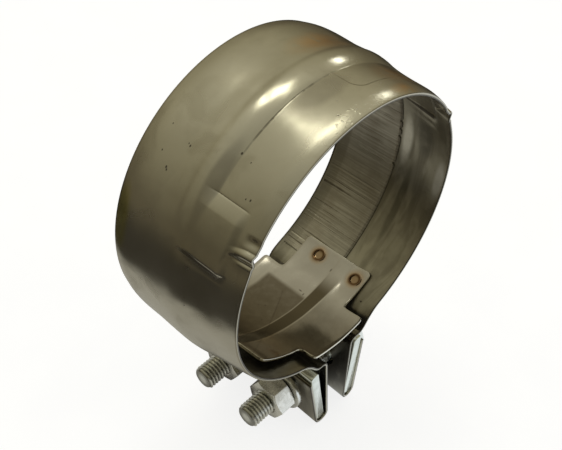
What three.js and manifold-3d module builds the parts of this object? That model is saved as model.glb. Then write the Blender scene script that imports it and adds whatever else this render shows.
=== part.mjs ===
// A lap-joint pipe clamp: a stepped steel band whose two ends fold into ears, drawn shut by two bolts.
// Millimetres, +Z up. The ring's axis is Y, its centre is the origin, and the ears hang at -Z.
// The bolt heads are on the +X side, and the larger end of the bore is on the +Y side.

import * as THREE from 'three';
import { mergeVertices } from 'three/addons/utils/BufferGeometryUtils.js';
import Module from 'manifold-3d';

const wasm = await Module();
wasm.setup();

// Band
const BAND_WIDTH = 63.5;
const NEAR_Y = -BAND_WIDTH / 2;
const FAR_Y = BAND_WIDTH / 2;
const SHEET = 1.2;
const FIT_GAP = 0.3;
const SEAM_HALF_ANGLE = 0.13;

// Outer radius of the ring against Y: above the shoulders it steps, below them it is a plain taper.
const STEPPED_PROFILE = [
  [NEAR_Y, 66.2], [-28, 67.0], [-20, 67.5], [-12, 67.7], [-8, 68.4], [-4, 69.6], [0, 70.2],
  [4, 70.2], [9.5, 69.7], [15, 69.9], [21, 70.2], [26, 69.9], [FAR_Y, 68.7],
];
const TAPERED_PROFILE = [
  [NEAR_Y, 65.2], [-27, 66.1], [-20, 67.0], [-8, 68.4], [4, 69.6], [14, 70.1], [22, 70.2],
  [27, 69.8], [FAR_Y, 68.7],
];
const PROFILE_Y = [NEAR_Y, -28, -23, -21, -19, -12, -8, -4, 0, 4, 10, 16, 22, 27, FAR_Y];

// The shoulder, where taper and step meet, has a pressed pad and a small ridge that runs out to the rim.
const SHOULDER_ANGLE = 120;
const SHOULDER_BLEND = 5;
const PAD = { from: 111, to: 133, edge: 2.5, near: -22, far: 0, nearEdge: 2.2, radius: 70.0 };
const RIDGE = { at: 121, halfWidth: 3, height: 1.7, inner: -21 };

// Ears. Each is given by its bar, which leans towards the bolt gap, and the sheet that loops round it.
const EAR_START_ANGLE = 22;
const BAR = { thickness: 5.2, height: 43, length: 62.5, corner: 1.2, z: -96.6, holeRadius: 7.2 };
const NUT_EAR = { side: -1, barX: 13.0, lean: 9.8, wallTop: 8.9, wallBottom: 4.1 };
const HEAD_EAR = { side: 1, barX: 12.9, lean: 4.0, wallTop: 7.3, wallBottom: 7.2 };
const EAR_TOP_Z = -69.8;
const NECK = { x: 19.8, z: -64.2 };
const DIP = { x: 15.6, z: -69.3, curveRight: 1.8, curveUp: 2, curveLeft: 2 };
const LOOP_CORNER = 3.2;
const FOLD_CORNER = 3.6;
const LOOP_BOTTOM_Z = -121;
const LEG_TIP_Z = -79.5;
// Towards the far side, where the ring is larger, the tops of the ears hang lower. The drop fades out
// between two depths below the dip.
const FAR_DROP = { share: 0.5, fadeFrom: 3, fadeTo: 16 };
const EAR_HOLE_RADIUS = 7.8;

// Bolts
const BOLT = { z: -95.4, halfSpacing: 15, radius: 6, endX: -45, chamfer: 1.2 };
const HEX = { acrossFlats: 19, faceInset: 0.2, rimBeyondCorner: 0.6, chamferAngle: 30 };
const HEAD_THICKNESS = 7.5;
const HEAD_OVERLAP = 0.5;
const NUT_THICKNESS = 10;
const NUT_CLEARANCE = 0.3;
const WASHER = { outer: 12, inner: 6.6, thickness: 2.5 };
const HEAD_SEAT_X = 18.6;
const NUT_SEAT_X = -19.9;

// Liner and sealing tongue
const LINER = { near: -2.5, far: 24, thickness: 0.5, rightEnd: 23, leftEnd: 50, largestRadius: 70.2 };
const TONGUE = {
  rightEnd: 33, leftEnd: 41, wideRight: 13, wideLeft: 16, tabHalfWidth: 20.5, width: 63, corner: 3,
  planRadius: 68, planBottom: -90, planDepth: 60,
};
// The tongue rises off the band to clear the liner, between two places along Y.
const OVER_LINER = { height: 0.8, from: LINER.near - 4, to: LINER.near - 0.5 };
// Its free end, on -X, spirals inwards from an angle just right of the bottom.
const SPIRAL = { fromAngle: 2, start: 0.3, end: 2.9, easeShare: 0.2 };

// How finely round shapes are divided, and how far cutting shapes run past what they cut
const ANGLE_STEP = 5.5;
const TONGUE_STEPS = 18;
const TONGUE_OVERRUN_ANGLE = 4;
const ROUND_SIDES = 32;
const CHAMFER_SIDES = 36;
const DRILL_SIDES = 24;
const DRILL_REACH = 30;
const CUT_OVERRUN = 1;
const CURVE_POINTS = 3;
const PLAN_CURVE_POINTS = 4;

const steel = (color, roughness) => new THREE.MeshStandardMaterial({ color, roughness, metalness: 1 });
const bandSteel = steel(0x8f8878, 0.35);
const linerSteel = steel(0x6f695c, 0.55);
const tongueSteel = steel(0xa39b88, 0.4);
const zincPlate = steel(0xc9cdc8, 0.3);
const threadPlate = steel(0x9da39c, 0.35);

const radians = THREE.MathUtils.degToRad;
const smooth = THREE.MathUtils.smoothstep;
const lerp = THREE.MathUtils.lerp;

// Height at y of the smooth curve through the profile's points.
function profileAt(points, y) {
  const last = points.length - 1;
  let i = 0;
  while (i < last - 1 && y > points[i + 1][0]) i += 1;
  const slope = (k) => {
    const a = points[Math.max(k - 1, 0)];
    const b = points[Math.min(k + 1, last)];
    return (b[1] - a[1]) / (b[0] - a[0]);
  };
  const [y0, r0] = points[i];
  const [y1, r1] = points[i + 1];
  const h = y1 - y0;
  const t = (y - y0) / h;
  const t2 = t * t;
  const t3 = t2 * t;
  return (2 * t3 - 3 * t2 + 1) * r0 + (t3 - 2 * t2 + t) * h * slope(i)
    + (3 * t2 - 2 * t3) * r1 + (t3 - t2) * h * slope(i + 1);
}

// Outer radius of the band at an angle, in degrees from -Z on either side, and a place along Y.
function bandRadius(angle, y) {
  const a = Math.abs(angle);
  const stepped = smooth(a, SHOULDER_ANGLE - SHOULDER_BLEND, SHOULDER_ANGLE + SHOULDER_BLEND);
  let r = lerp(profileAt(TAPERED_PROFILE, y), profileAt(STEPPED_PROFILE, y), stepped);
  const alongPad = smooth(a, PAD.from, PAD.from + PAD.edge) * (1 - smooth(a, PAD.to, PAD.to + PAD.edge));
  const acrossPad = smooth(y, PAD.near, PAD.near + PAD.nearEdge) * (y < PAD.far ? 1 : 0);
  if (r < PAD.radius) r = lerp(r, PAD.radius, alongPad * acrossPad);
  const onRidge = Math.max(0, 1 - ((a - RIDGE.at) / RIDGE.halfWidth) ** 2);
  r += RIDGE.height * onRidge * (1 - smooth(y, RIDGE.inner - 2, RIDGE.inner));
  return r;
}

function polar(angle, r, y) {
  return new THREE.Vector3(r * Math.sin(radians(angle)), y, -r * Math.cos(radians(angle)));
}

// Closed solid between two grids of points of the same size.
function solidBetween(outer, inner) {
  const rows = outer.length;
  const columns = outer[0].length;
  const positions = [...outer.flat(), ...inner.flat()].flatMap((p) => [p.x, p.y, p.z]);
  const at = (layer, i, j) => layer * rows * columns + i * columns + j;
  const index = [];
  const quad = (a, b, c, d) => index.push(a, b, c, a, c, d);
  for (let i = 0; i < rows - 1; i += 1) {
    for (let j = 0; j < columns - 1; j += 1) {
      quad(at(0, i, j), at(0, i + 1, j), at(0, i + 1, j + 1), at(0, i, j + 1));
      quad(at(1, i, j), at(1, i, j + 1), at(1, i + 1, j + 1), at(1, i + 1, j));
    }
    quad(at(0, i, 0), at(1, i, 0), at(1, i + 1, 0), at(0, i + 1, 0));
    quad(at(0, i, columns - 1), at(0, i + 1, columns - 1), at(1, i + 1, columns - 1), at(1, i, columns - 1));
  }
  for (let j = 0; j < columns - 1; j += 1) {
    quad(at(0, 0, j), at(0, 0, j + 1), at(1, 0, j + 1), at(1, 0, j));
    quad(at(0, rows - 1, j), at(1, rows - 1, j), at(1, rows - 1, j + 1), at(0, rows - 1, j + 1));
  }
  if (signedVolume(positions, index) < 0) index.reverse();
  const geometry = new THREE.BufferGeometry();
  geometry.setAttribute('position', new THREE.Float32BufferAttribute(positions, 3));
  geometry.setIndex(index);
  return geometry;
}

function signedVolume(positions, index) {
  const corner = (k) => new THREE.Vector3().fromArray(positions, 3 * index[k]);
  let volume = 0;
  for (let k = 0; k < index.length; k += 3) {
    volume += corner(k).dot(corner(k + 1).cross(corner(k + 2))) / 6;
  }
  return volume;
}

function toSolid(geometry) {
  const bare = geometry.clone();
  bare.deleteAttribute('normal');
  bare.deleteAttribute('uv');
  const merged = mergeVertices(bare, 1e-4);
  const vertProperties = new Float32Array(merged.attributes.position.array);
  const triVerts = new Uint32Array(merged.index.array);
  return new wasm.Manifold(new wasm.Mesh({ numProp: 3, vertProperties, triVerts }));
}

function toGeometry(solid) {
  const mesh = solid.getMesh();
  const geometry = new THREE.BufferGeometry();
  geometry.setAttribute('position', new THREE.BufferAttribute(new Float32Array(mesh.vertProperties), 3));
  geometry.setIndex(new THREE.BufferAttribute(new Uint32Array(mesh.triVerts), 1));
  const flat = geometry.toNonIndexed();
  flat.computeVertexNormals();
  return flat;
}

function named(name, geometry, material) {
  const mesh = new THREE.Mesh(geometry, material);
  mesh.name = name;
  return mesh;
}

// Cylinder along X between two places.
function rodAlongX(radius, x0, x1, y, z, sides) {
  const rod = new THREE.CylinderGeometry(radius, radius, x1 - x0, sides);
  rod.rotateZ(Math.PI / 2);
  rod.translate((x0 + x1) / 2, y, z);
  return rod;
}

const boltPlaces = [['front', -BOLT.halfSpacing], ['rear', BOLT.halfSpacing]];

// The solid with both bolt holes cut through it, on one side of the bolt gap.
function drilled(geometry, radius, side) {
  let solid = toSolid(geometry);
  const from = side < 0 ? -DRILL_REACH : 0;
  for (const [, y] of boltPlaces) {
    const drill = rodAlongX(radius, from, from + DRILL_REACH, y, BOLT.z, DRILL_SIDES);
    solid = solid.subtract(toSolid(drill));
  }
  return toGeometry(solid);
}

// Angles from the seam at the top down to the ear, closer together round the shoulder.
function ringAngles(from, to) {
  const marks = [
    from, PAD.to + PAD.edge, PAD.to, RIDGE.at + RIDGE.halfWidth, RIDGE.at,
    RIDGE.at - RIDGE.halfWidth, PAD.from + PAD.edge, PAD.from, to,
  ];
  const angles = [from];
  for (let k = 1; k < marks.length; k += 1) {
    const steps = Math.max(1, Math.round((marks[k - 1] - marks[k]) / ANGLE_STEP));
    for (let n = 1; n <= steps; n += 1) angles.push(lerp(marks[k - 1], marks[k], n / steps));
  }
  return angles;
}

// Middle line of the ear's sheet in the plane of the ring, on the +X side: down the wall by the bolt
// gap, round under the bar, and up the outer leg.
function earLine(ear) {
  const lean = Math.tan(radians(ear.lean));
  const legOffset = BAR.thickness / 2 / Math.cos(radians(ear.lean)) + FIT_GAP + SHEET / 2;
  const legX = (z) => ear.barX + (z - BAR.z) * lean + legOffset;
  const topZ = EAR_TOP_Z - SHEET / 2;
  const bottomZ = LOOP_BOTTOM_Z + SHEET / 2;
  const wallX = (z) => lerp(ear.wallBottom, ear.wallTop, (z - bottomZ) / (topZ - bottomZ)) + SHEET / 2;
  const line = new THREE.Path();
  line.moveTo(NECK.x, NECK.z);
  line.lineTo(DIP.x + DIP.curveRight, DIP.z + DIP.curveUp);
  line.quadraticCurveTo(DIP.x, topZ, DIP.x - DIP.curveLeft, topZ);
  line.lineTo(wallX(topZ) + FOLD_CORNER, topZ);
  line.quadraticCurveTo(wallX(topZ), topZ, wallX(topZ - FOLD_CORNER), topZ - FOLD_CORNER);
  line.lineTo(wallX(bottomZ + LOOP_CORNER), bottomZ + LOOP_CORNER);
  line.quadraticCurveTo(wallX(bottomZ), bottomZ, wallX(bottomZ) + LOOP_CORNER, bottomZ);
  line.lineTo(legX(bottomZ) - LOOP_CORNER, bottomZ);
  line.quadraticCurveTo(legX(bottomZ), bottomZ, legX(bottomZ + LOOP_CORNER), bottomZ + LOOP_CORNER);
  line.lineTo(legX(LEG_TIP_Z), LEG_TIP_Z);
  return line.getPoints(CURVE_POINTS);
}

// How far a point of the ear hangs lower at a place along Y.
function farDrop(z, y) {
  const faded = 1 - smooth(-z, -DIP.z + FAR_DROP.fadeFrom, -DIP.z + FAR_DROP.fadeTo);
  return FAR_DROP.share * faded * (profileAt(TAPERED_PROFILE, y) - TAPERED_PROFILE[0][1]);
}

// One half of the band with its ear.
function bandHalf(ear) {
  const angles = ringAngles(180 - SEAM_HALF_ANGLE, EAR_START_ANGLE);
  const line = earLine(ear);
  const outer = [];
  const inner = [];
  for (const angle of angles) {
    outer.push(PROFILE_Y.map((y) => polar(ear.side * angle, bandRadius(angle, y), y)));
    inner.push(PROFILE_Y.map((y) => polar(ear.side * angle, bandRadius(angle, y) - SHEET, y)));
  }
  line.forEach((point, k) => {
    const before = line[Math.max(k - 1, 0)];
    const after = line[Math.min(k + 1, line.length - 1)];
    const along = after.clone().sub(before).normalize();
    const normal = new THREE.Vector2(-along.y, along.x).multiplyScalar(-SHEET / 2);
    const place = (sign) => PROFILE_Y.map((y) => {
      const z = point.y + sign * normal.y - farDrop(point.y, y);
      return new THREE.Vector3(ear.side * (point.x + sign * normal.x), y, z);
    });
    outer.push(place(-1));
    inner.push(place(1));
  });
  return drilled(solidBetween(outer, inner), EAR_HOLE_RADIUS, ear.side);
}

// Strip inside the larger half of the bore.
function linerHalf(side, end) {
  const places = PROFILE_Y.filter((y) => y > LINER.near && y < LINER.far);
  const ys = [LINER.near, ...places, LINER.far];
  const outer = [];
  const inner = [];
  for (const angle of ringAngles(180 - SEAM_HALF_ANGLE, end)) {
    const radius = (y) => Math.min(bandRadius(angle, y), LINER.largestRadius) - SHEET - FIT_GAP;
    outer.push(ys.map((y) => polar(side * angle, radius(y), y)));
    inner.push(ys.map((y) => polar(side * angle, radius(y) - LINER.thickness, y)));
  }
  return solidBetween(outer, inner);
}

// Cross-shaped plan of the tongue, seen along Z, with rounded corners.
function tonguePlan() {
  const reach = (angle) => TONGUE.planRadius * Math.sin(radians(angle));
  const left = -reach(TONGUE.leftEnd);
  const wideLeft = -reach(TONGUE.wideLeft);
  const wideRight = reach(TONGUE.wideRight);
  const right = reach(TONGUE.rightEnd);
  const tab = TONGUE.tabHalfWidth;
  const wide = TONGUE.width / 2;
  const nearSide = [
    [left, -tab], [wideLeft, -tab], [wideLeft, -wide], [wideRight, -wide], [wideRight, -tab], [right, -tab],
  ];
  const farSide = nearSide.map(([x, y]) => [x, -y]).reverse();
  const corners = [...nearSide, ...farSide].map(([x, y]) => new THREE.Vector2(x, y));
  const shape = new THREE.Shape();
  corners.forEach((corner, k) => {
    const before = corners[(k + corners.length - 1) % corners.length];
    const after = corners[(k + 1) % corners.length];
    const start = before.clone().sub(corner).setLength(TONGUE.corner).add(corner);
    const end = after.clone().sub(corner).setLength(TONGUE.corner).add(corner);
    if (k === 0) shape.moveTo(start.x, start.y);
    else shape.lineTo(start.x, start.y);
    shape.quadraticCurveTo(corner.x, corner.y, end.x, end.y);
  });
  shape.closePath();
  return shape;
}

// Radius of the tongue's outer face. The free end spirals inwards so that the band can close over it.
function tongueRadius(angle, y) {
  const overLiner = OVER_LINER.height * smooth(y, OVER_LINER.from, OVER_LINER.to);
  const free = THREE.MathUtils.clamp((SPIRAL.fromAngle - angle) / (TONGUE.leftEnd + SPIRAL.fromAngle), 0, 1);
  const inwards = lerp(SPIRAL.start, SPIRAL.end, free) * smooth(free, 0, SPIRAL.easeShare);
  return profileAt(TAPERED_PROFILE, y) - SHEET - FIT_GAP - overLiner - inwards;
}

function tongue() {
  const outer = [];
  const inner = [];
  const from = -TONGUE.leftEnd - TONGUE_OVERRUN_ANGLE;
  const to = TONGUE.rightEnd + TONGUE_OVERRUN_ANGLE;
  for (let k = 0; k <= TONGUE_STEPS; k += 1) {
    const angle = lerp(from, to, k / TONGUE_STEPS);
    outer.push(PROFILE_Y.map((y) => polar(angle, tongueRadius(angle, y), y)));
    inner.push(PROFILE_Y.map((y) => polar(angle, tongueRadius(angle, y) - SHEET, y)));
  }
  const settings = { depth: TONGUE.planDepth, bevelEnabled: false, curveSegments: PLAN_CURVE_POINTS };
  const plan = new THREE.ExtrudeGeometry(tonguePlan(), settings);
  plan.translate(0, 0, TONGUE.planBottom);
  return toGeometry(toSolid(solidBetween(outer, inner)).intersect(toSolid(plan)));
}

// Flat bar inside an ear, with its long edges rounded.
function bar(ear) {
  const t = BAR.thickness / 2;
  const h = BAR.height / 2;
  const r = BAR.corner;
  const section = new THREE.Shape();
  section.moveTo(-t + r, -h);
  section.lineTo(t - r, -h);
  section.quadraticCurveTo(t, -h, t, -h + r);
  section.lineTo(t, h - r);
  section.quadraticCurveTo(t, h, t - r, h);
  section.lineTo(-t + r, h);
  section.quadraticCurveTo(-t, h, -t, h - r);
  section.lineTo(-t, -h + r);
  section.quadraticCurveTo(-t, -h, -t + r, -h);
  const settings = { depth: BAR.length, bevelEnabled: false, curveSegments: CURVE_POINTS };
  const solid = new THREE.ExtrudeGeometry(section, settings);
  solid.translate(0, 0, -BAR.length / 2);
  solid.rotateX(Math.PI / 2);
  solid.rotateY(radians(ear.side * ear.lean));
  solid.translate(ear.side * ear.barX, 0, BAR.z);
  return drilled(solid, BAR.holeRadius, ear.side);
}

// Hexagonal prism along X with its corners pointing along Y and both end faces chamfered.
function hexagon(x0, x1, y) {
  const corner = HEX.acrossFlats / 2 / Math.cos(Math.PI / 6);
  const prism = rodAlongX(corner, x0, x1, 0, 0, 6);
  prism.rotateX(Math.PI / 2);
  const length = x1 - x0;
  const face = HEX.acrossFlats / 2 - HEX.faceInset;
  const rim = corner + HEX.rimBeyondCorner;
  const slope = (rim - face) * Math.tan(radians(HEX.chamferAngle));
  const outline = [[0, 0], [face, 0], [rim, slope], [rim, length - slope], [face, length], [0, length]];
  const cone = new THREE.LatheGeometry(outline.map(([r, h]) => new THREE.Vector2(r, h)), CHAMFER_SIDES);
  cone.rotateZ(-Math.PI / 2);
  cone.translate(x0, 0, 0);
  const solid = toSolid(prism).intersect(toSolid(cone));
  return solid.translate(0, y, BOLT.z);
}

function bolt(y) {
  const headStart = HEAD_SEAT_X + WASHER.thickness + FIT_GAP;
  const length = headStart + HEAD_OVERLAP - BOLT.endX;
  const outline = [
    [0, 0], [BOLT.radius - BOLT.chamfer, 0], [BOLT.radius, BOLT.chamfer], [BOLT.radius, length], [0, length],
  ];
  const shank = new THREE.LatheGeometry(outline.map(([r, h]) => new THREE.Vector2(r, h)), ROUND_SIDES);
  shank.rotateZ(-Math.PI / 2);
  shank.translate(BOLT.endX, y, BOLT.z);
  return toGeometry(hexagon(headStart, headStart + HEAD_THICKNESS, y).add(toSolid(shank)));
}

function nut(y) {
  const face = NUT_SEAT_X - WASHER.thickness - FIT_GAP;
  const back = face - NUT_THICKNESS;
  const boreRadius = BOLT.radius + NUT_CLEARANCE;
  const bore = rodAlongX(boreRadius, back - CUT_OVERRUN, face + CUT_OVERRUN, y, BOLT.z, ROUND_SIDES);
  return toGeometry(hexagon(back, face, y).subtract(toSolid(bore)));
}

function washer(x, y) {
  const end = x + WASHER.thickness;
  const disc = rodAlongX(WASHER.outer, x, end, y, BOLT.z, ROUND_SIDES);
  const hole = rodAlongX(WASHER.inner, x - CUT_OVERRUN, end + CUT_OVERRUN, y, BOLT.z, ROUND_SIDES);
  return toGeometry(toSolid(disc).subtract(toSolid(hole)));
}

const clamp = new THREE.Group();
clamp.name = 'pipe_clamp';
clamp.add(
  named('band_left', bandHalf(NUT_EAR), bandSteel),
  named('band_right', bandHalf(HEAD_EAR), bandSteel),
  named('liner_left', linerHalf(-1, LINER.leftEnd), linerSteel),
  named('liner_right', linerHalf(1, LINER.rightEnd), linerSteel),
  named('sealing_tongue', tongue(), tongueSteel),
  named('bar_nut_side', bar(NUT_EAR), zincPlate),
  named('bar_head_side', bar(HEAD_EAR), zincPlate),
);
for (const [place, y] of boltPlaces) {
  clamp.add(
    named(`bolt_${place}`, bolt(y), threadPlate),
    named(`nut_${place}`, nut(y), zincPlate),
    named(`nut_washer_${place}`, washer(NUT_SEAT_X - WASHER.thickness, y), zincPlate),
    named(`head_washer_${place}`, washer(HEAD_SEAT_X, y), zincPlate),
  );
}

export default clamp;
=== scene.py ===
"""Looks of a lap-joint pipe clamp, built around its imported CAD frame.

The ring's axis is Y, its centre is the origin and the ears hang at -Z. Shapes are worked out in
millimetres and written to the meshes in metres. Angles round the ring are in degrees from -Z.
"""

import math

import bpy
import numpy as np
from mathutils import Matrix, Vector
from mathutils.geometry import delaunay_2d_cdt


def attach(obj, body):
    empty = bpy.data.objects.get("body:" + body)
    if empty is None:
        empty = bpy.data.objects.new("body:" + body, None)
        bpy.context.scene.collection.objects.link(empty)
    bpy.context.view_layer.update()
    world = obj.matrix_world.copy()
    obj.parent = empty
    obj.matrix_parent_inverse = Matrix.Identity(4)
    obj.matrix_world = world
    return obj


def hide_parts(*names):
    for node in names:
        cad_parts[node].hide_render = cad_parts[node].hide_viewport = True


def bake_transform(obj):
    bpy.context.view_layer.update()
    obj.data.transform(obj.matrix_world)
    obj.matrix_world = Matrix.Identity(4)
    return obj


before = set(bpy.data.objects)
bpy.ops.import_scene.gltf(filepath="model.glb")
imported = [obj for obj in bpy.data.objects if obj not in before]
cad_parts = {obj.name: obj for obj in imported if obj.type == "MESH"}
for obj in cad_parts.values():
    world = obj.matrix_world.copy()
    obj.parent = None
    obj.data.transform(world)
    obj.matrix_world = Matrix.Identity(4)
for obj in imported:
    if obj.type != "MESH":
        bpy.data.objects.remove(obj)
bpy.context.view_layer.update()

MM = 0.001

# Band
NEAR_Y = -31.75
FAR_Y = 31.75
SHEET = 1.2
FIT_GAP = 0.3
EDGE_ROUND = 0.25

# Outer radius of the ring against Y. Above the shoulders it steps, below them it rises evenly and runs level.
STEPPED_PROFILE = [
    (NEAR_Y, 66.1), (-29.8, 66.65), (-27.2, 67.15), (-24, 67.36), (-13, 67.76), (-8.9, 67.9),
    (-8.6, 67.95), (-8.4, 68.04), (-6.5, 68.78), (-3.5, 69.65), (-0.5, 70.1), (1.0, 70.1),
    (3.0, 69.82), (6.0, 69.75), (9.7, 69.65), (15, 69.9), (21, 70.12), (26, 69.9), (FAR_Y, 68.7),
]
TAPERED_PROFILE = [
    (NEAR_Y, 65.2), (-27, 66.1), (-20, 67.2), (-10, 68.95), (-6.5, 69.6), (-2.5, 70.05), (2, 70.15),
    (8, 70.1), (15, 70.0), (22, 70.12), (27, 69.8), (FAR_Y, 68.7),
]

# Shoulders. Angles and reaches are in degrees from -Z, and a pair of Y places is where something fades.
SHOULDER_ANGLE = 120
SHOULDER_BLEND = 5
PAD = {
    "foot": 112.4, "foot_lean": 0.05, "foot_middle": -12, "crisp": 0.42, "crisp_from": 0.35, "crisp_to": 0.45,
    "rise": 6.5, "top_from": 128.1, "top_fade": 4.9, "top_power": 1.25, "near": (-24.4, -20.4),
    "far": (-5.5, 2.5), "near_radius": 68.8, "far_radius": 69.9, "radius_change": (-24, -2),
}
PAD_DENT = {"below_foot": 2.1, "reach": 2.4, "depth": 0.26}
PAD_CREASE = {"angle": 133.0, "reach": 0.5, "depth": 0.12, "near": (-24, -21), "far": (-9, -4)}
RIM_FOLD_FADE = (-29.5, -21.5)
RIDGE = {"angle": 122.0, "lean": 1.1, "reach": 1.7, "low": 0.15, "rise": 1.15, "fade": (-23.5, -21)}
DIMPLE = {"angle": 126.3, "reach": 2.3, "y": -29.2, "y_reach": 4.2, "depth": 0.7}
SECOND_FOLD = {"angle": 119.4, "reach": 1.2, "depth": 0.45}
LIP = {"angle": 118.5, "reach": 0.5, "height": 0.2, "fade": (-29, -25)}

# How finely the band is divided, as (from, to, step): by angle round the ring and by Y across it
RING_SPANS = [
    (22, 32, 1.0), (32, 105, 1.5), (105, 111.6, 0.6), (111.6, 133.6, 0.25), (133.6, 138, 0.6),
    (138, 180, 1.2),
]
BAND_SPANS = [
    (NEAR_Y + EDGE_ROUND, -20, 0.5), (-20, -9.4, 1.1), (-9.4, -9, 0.2), (-9, -8.2, 0.1), (-8.2, 4, 0.65),
    (4, FAR_Y - EDGE_ROUND, 1.6),
]

# Ears: each is given by its bar, which leans towards the bolt gap, and the sheet that loops round it.
BAR = {
    "thickness": 5.2, "height": 43, "length": 62.5, "corner": 1.7, "z": -96.6, "hole": 7.2,
    "end_edge": 0.35, "end_edge_middle": 0.12,
}
NUT_EAR = {"side": -1, "bar_x": 13.0, "lean": 9.8, "wall_top": 8.9, "wall_bottom": 4.1}
HEAD_EAR = {"side": 1, "bar_x": 12.9, "lean": 4.0, "wall_top": 7.3, "wall_bottom": 7.2}
EAR_TOP_Z = -69.8
NECK = (19.8, -64.2)
DIP = (15.6, -69.3)
DIP_CORNER = 2.6
LOOP_CORNER = 4.0
FOLD_CORNER = 3.6
LOOP_BOTTOM_Z = -120.98
LEG_TIP_Z = -79.5
# The share of the ring's growth by which an ear's top hangs lower, fading out between depths below the dip
FAR_DROP = {"share": 0.5, "fade_from": 3, "fade_to": 16}
EAR_HOLE_RADIUS = 7.8
DRILL_REACH = 30
# Steps from the ring to a neck, and the stretch of rows about that joint that is eased: how far it
# reaches towards the ear, how many rows it has and how often it is eased
NECK_STEPS = 5
EASED = {"into_ear": 14, "rows": 19, "passes": 5}

# Bolts
BOLT = {
    "z": -95.4, "half_spacing": 15, "radius": 6, "end_x": -45, "chamfer": 1.2, "thread_to": -12,
    "run_out": 0.6, "shank_less": 0.1, "into_head": 1,
}
THREAD_PITCH = 1.75
THREAD_DEPTH = 1.07
THREAD_STEPS = 12
THREAD_CLEARANCE = 0.15
NUT_BORE = {"least": -0.75, "mouth": 0.7, "start_before": 0.6, "end_beyond": 0.7}
HEX = {
    "across_flats": 19, "corner_half_angle": 2.2, "corner_cut": 0.15, "side_cut": 0.275, "face_inset": 0.25,
    "rim_beyond_corner": 0.6, "chamfer_angle": 30,
}
HEAD_THICKNESS = 7.5
NUT_THICKNESS = 10
WASHER = {"outer": 12, "inner": 6.6, "thickness": 2.5, "corner": 0.35}
HEAD_SEAT_X = 18.6
NUT_SEAT_X = -19.9
BOLT_PLACES = {"front": -BOLT["half_spacing"], "rear": BOLT["half_spacing"]}

# Liner
LINER = {
    "near": -2.5, "far": 29.8, "thickness": 0.5, "right_end": 23, "left_end": 50, "largest_radius": 70.2,
    "step": 0.27, "edge_gap": 0.08, "gap_over": 1.5, "edge_thinning": 0.15, "thin_over": 0.6,
}
LINER_SPANS = [(LINER["near"], -1, 0.3), (-1, LINER["far"], 1.6)]
# Ribs are (depth, wavelength, phase), and their depth swells and fades over a longer wave.
RIBS = {"radius": 67, "waves": [(0.022, 1.55, 0), (0.02, 0.93, 1)], "swell": 0.45, "swell_wave": 23}
SCORES = {"turns": (253.5, 256.2, 258.9, 297, 331.5), "depth": 0.14, "reach": 0.35}
NICKS = {"turns": (238.5, 262.5, 266.5, 270, 283), "depth": 1.3, "reach": 0.9, "fade": 1.2}

# Tongue. Its plan is seen along Z, and its ends and wide part are given as angles.
TONGUE = {
    "right_end": 33, "left_end": 41, "far_left_end": 45, "wide_right": 13.6, "wide_left": 16.4,
    "right_tab": 20.0, "left_tab": 22.6, "width": 63, "corner": 2.4, "plan_radius": 65, "map_radius": 66,
}
TONGUE_PROFILE = [
    (NEAR_Y, 63.45), (-27, 64.25), (-20, 64.9), (-9.6, 65.3), (-9.0, 65.36), (-8.4, 65.5), (-2.6, 67.0),
    (-2.0, 67.12), (-1.4, 67.18), (14, 67.65), (22, 67.7), (27, 67.6), (FAR_Y, 67.15),
]
FREE_END = {"from": 2, "drawn_in": 2.3, "ease": 0.2}
SEAT = {"gap": 0.35, "largest": 67.1, "angles": (1, 33), "fade": (-3.4, -1.4)}
TONGUE_NET = {"x_from": -47, "x_to": 37, "x_step": 1.5, "edge_room": 0.7, "weld_room": 4.3}
TONGUE_SPANS = [(-31, -10, 1.5), (-10, -8, 0.33), (-8, -3, 1.0), (-3, -1, 0.33), (-1, 31, 1.5)]
# Spot welds: angle and Y of each, the raised ring and the dished middle
WELD_SPOTS = [(26.4, 9.0), (26.3, -14.5)]
WELD = {"ring_radius": 2.9, "ring_reach": 1.0, "ring": 0.22, "dish": 0.16, "dish_edge": (1.4, 2.6)}
WELD_RINGS = {"count": 13, "step": 0.3, "least": 6, "more": 2}

# Marks on the sheets, and patches of painted light and shade. A patch is its centre and half size on the flat
# sheet, in metres, and then its colour where it has its own. Places along the band are from the seam at the
# top.
BAND_TINTS = [
    ((0.025, -0.0285), (0.011, 0.005)), ((0.036, -0.018), (0.020, 0.011)), ((0.022, 0.009), (0.024, 0.010)),
]
# Patches on the outside: the first is a painted reflection, the second painted shade along the step, the
# third a yellow-green tint, and the last two painted shade on the ears' walls
OUTER_PATCHES = [
    ((-0.0045, -0.0130), (0.015, 0.0068), (0.42, 0.395, 0.335)),
    ((-0.053, -0.0056), (0.021, 0.0040), (0.38, 0.36, 0.31)),
    ((-0.086, 0.0285), (0.018, 0.0060), (0.62, 0.58, 0.22)),
    ((0.232, 0.0), (0.031, 0.060), (0.06, 0.055, 0.045)),
    ((-0.232, 0.0), (0.031, 0.060), (0.06, 0.055, 0.045)),
]
# Patches on the inside, all painted light and shade: the pale ones are painted reflections, the dark ones
# painted shade, and the last two lie on the ears' walls
INNER_PATCHES = [
    ((0.106, -0.0065), (0.018, 0.0040), (0.66, 0.64, 0.56)),
    ((0.098, -0.0170), (0.016, 0.0070), (0.15, 0.14, 0.11)),
    ((0.116, -0.0285), (0.014, 0.0035), (0.62, 0.61, 0.56)),
    ((0.140, -0.0120), (0.030, 0.0030), (0.17, 0.16, 0.12)),
    ((-0.095, 0.0200), (0.030, 0.0080), (0.20, 0.19, 0.15)),
    ((0.232, 0.0), (0.031, 0.060), (0.07, 0.065, 0.05)),
    ((-0.232, 0.0), (0.031, 0.060), (0.07, 0.065, 0.05)),
]
HANDLED_PATCH = ((-0.020, -0.0275), (0.045, 0.010))
WAVY_PATCH = ((-0.125, 0.0), (0.05, 0.06))
RIM_DENT_PATCH = ((-0.003, -0.0285), (0.016, 0.0048))
CREASE_ACROSS = -0.0086
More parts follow.
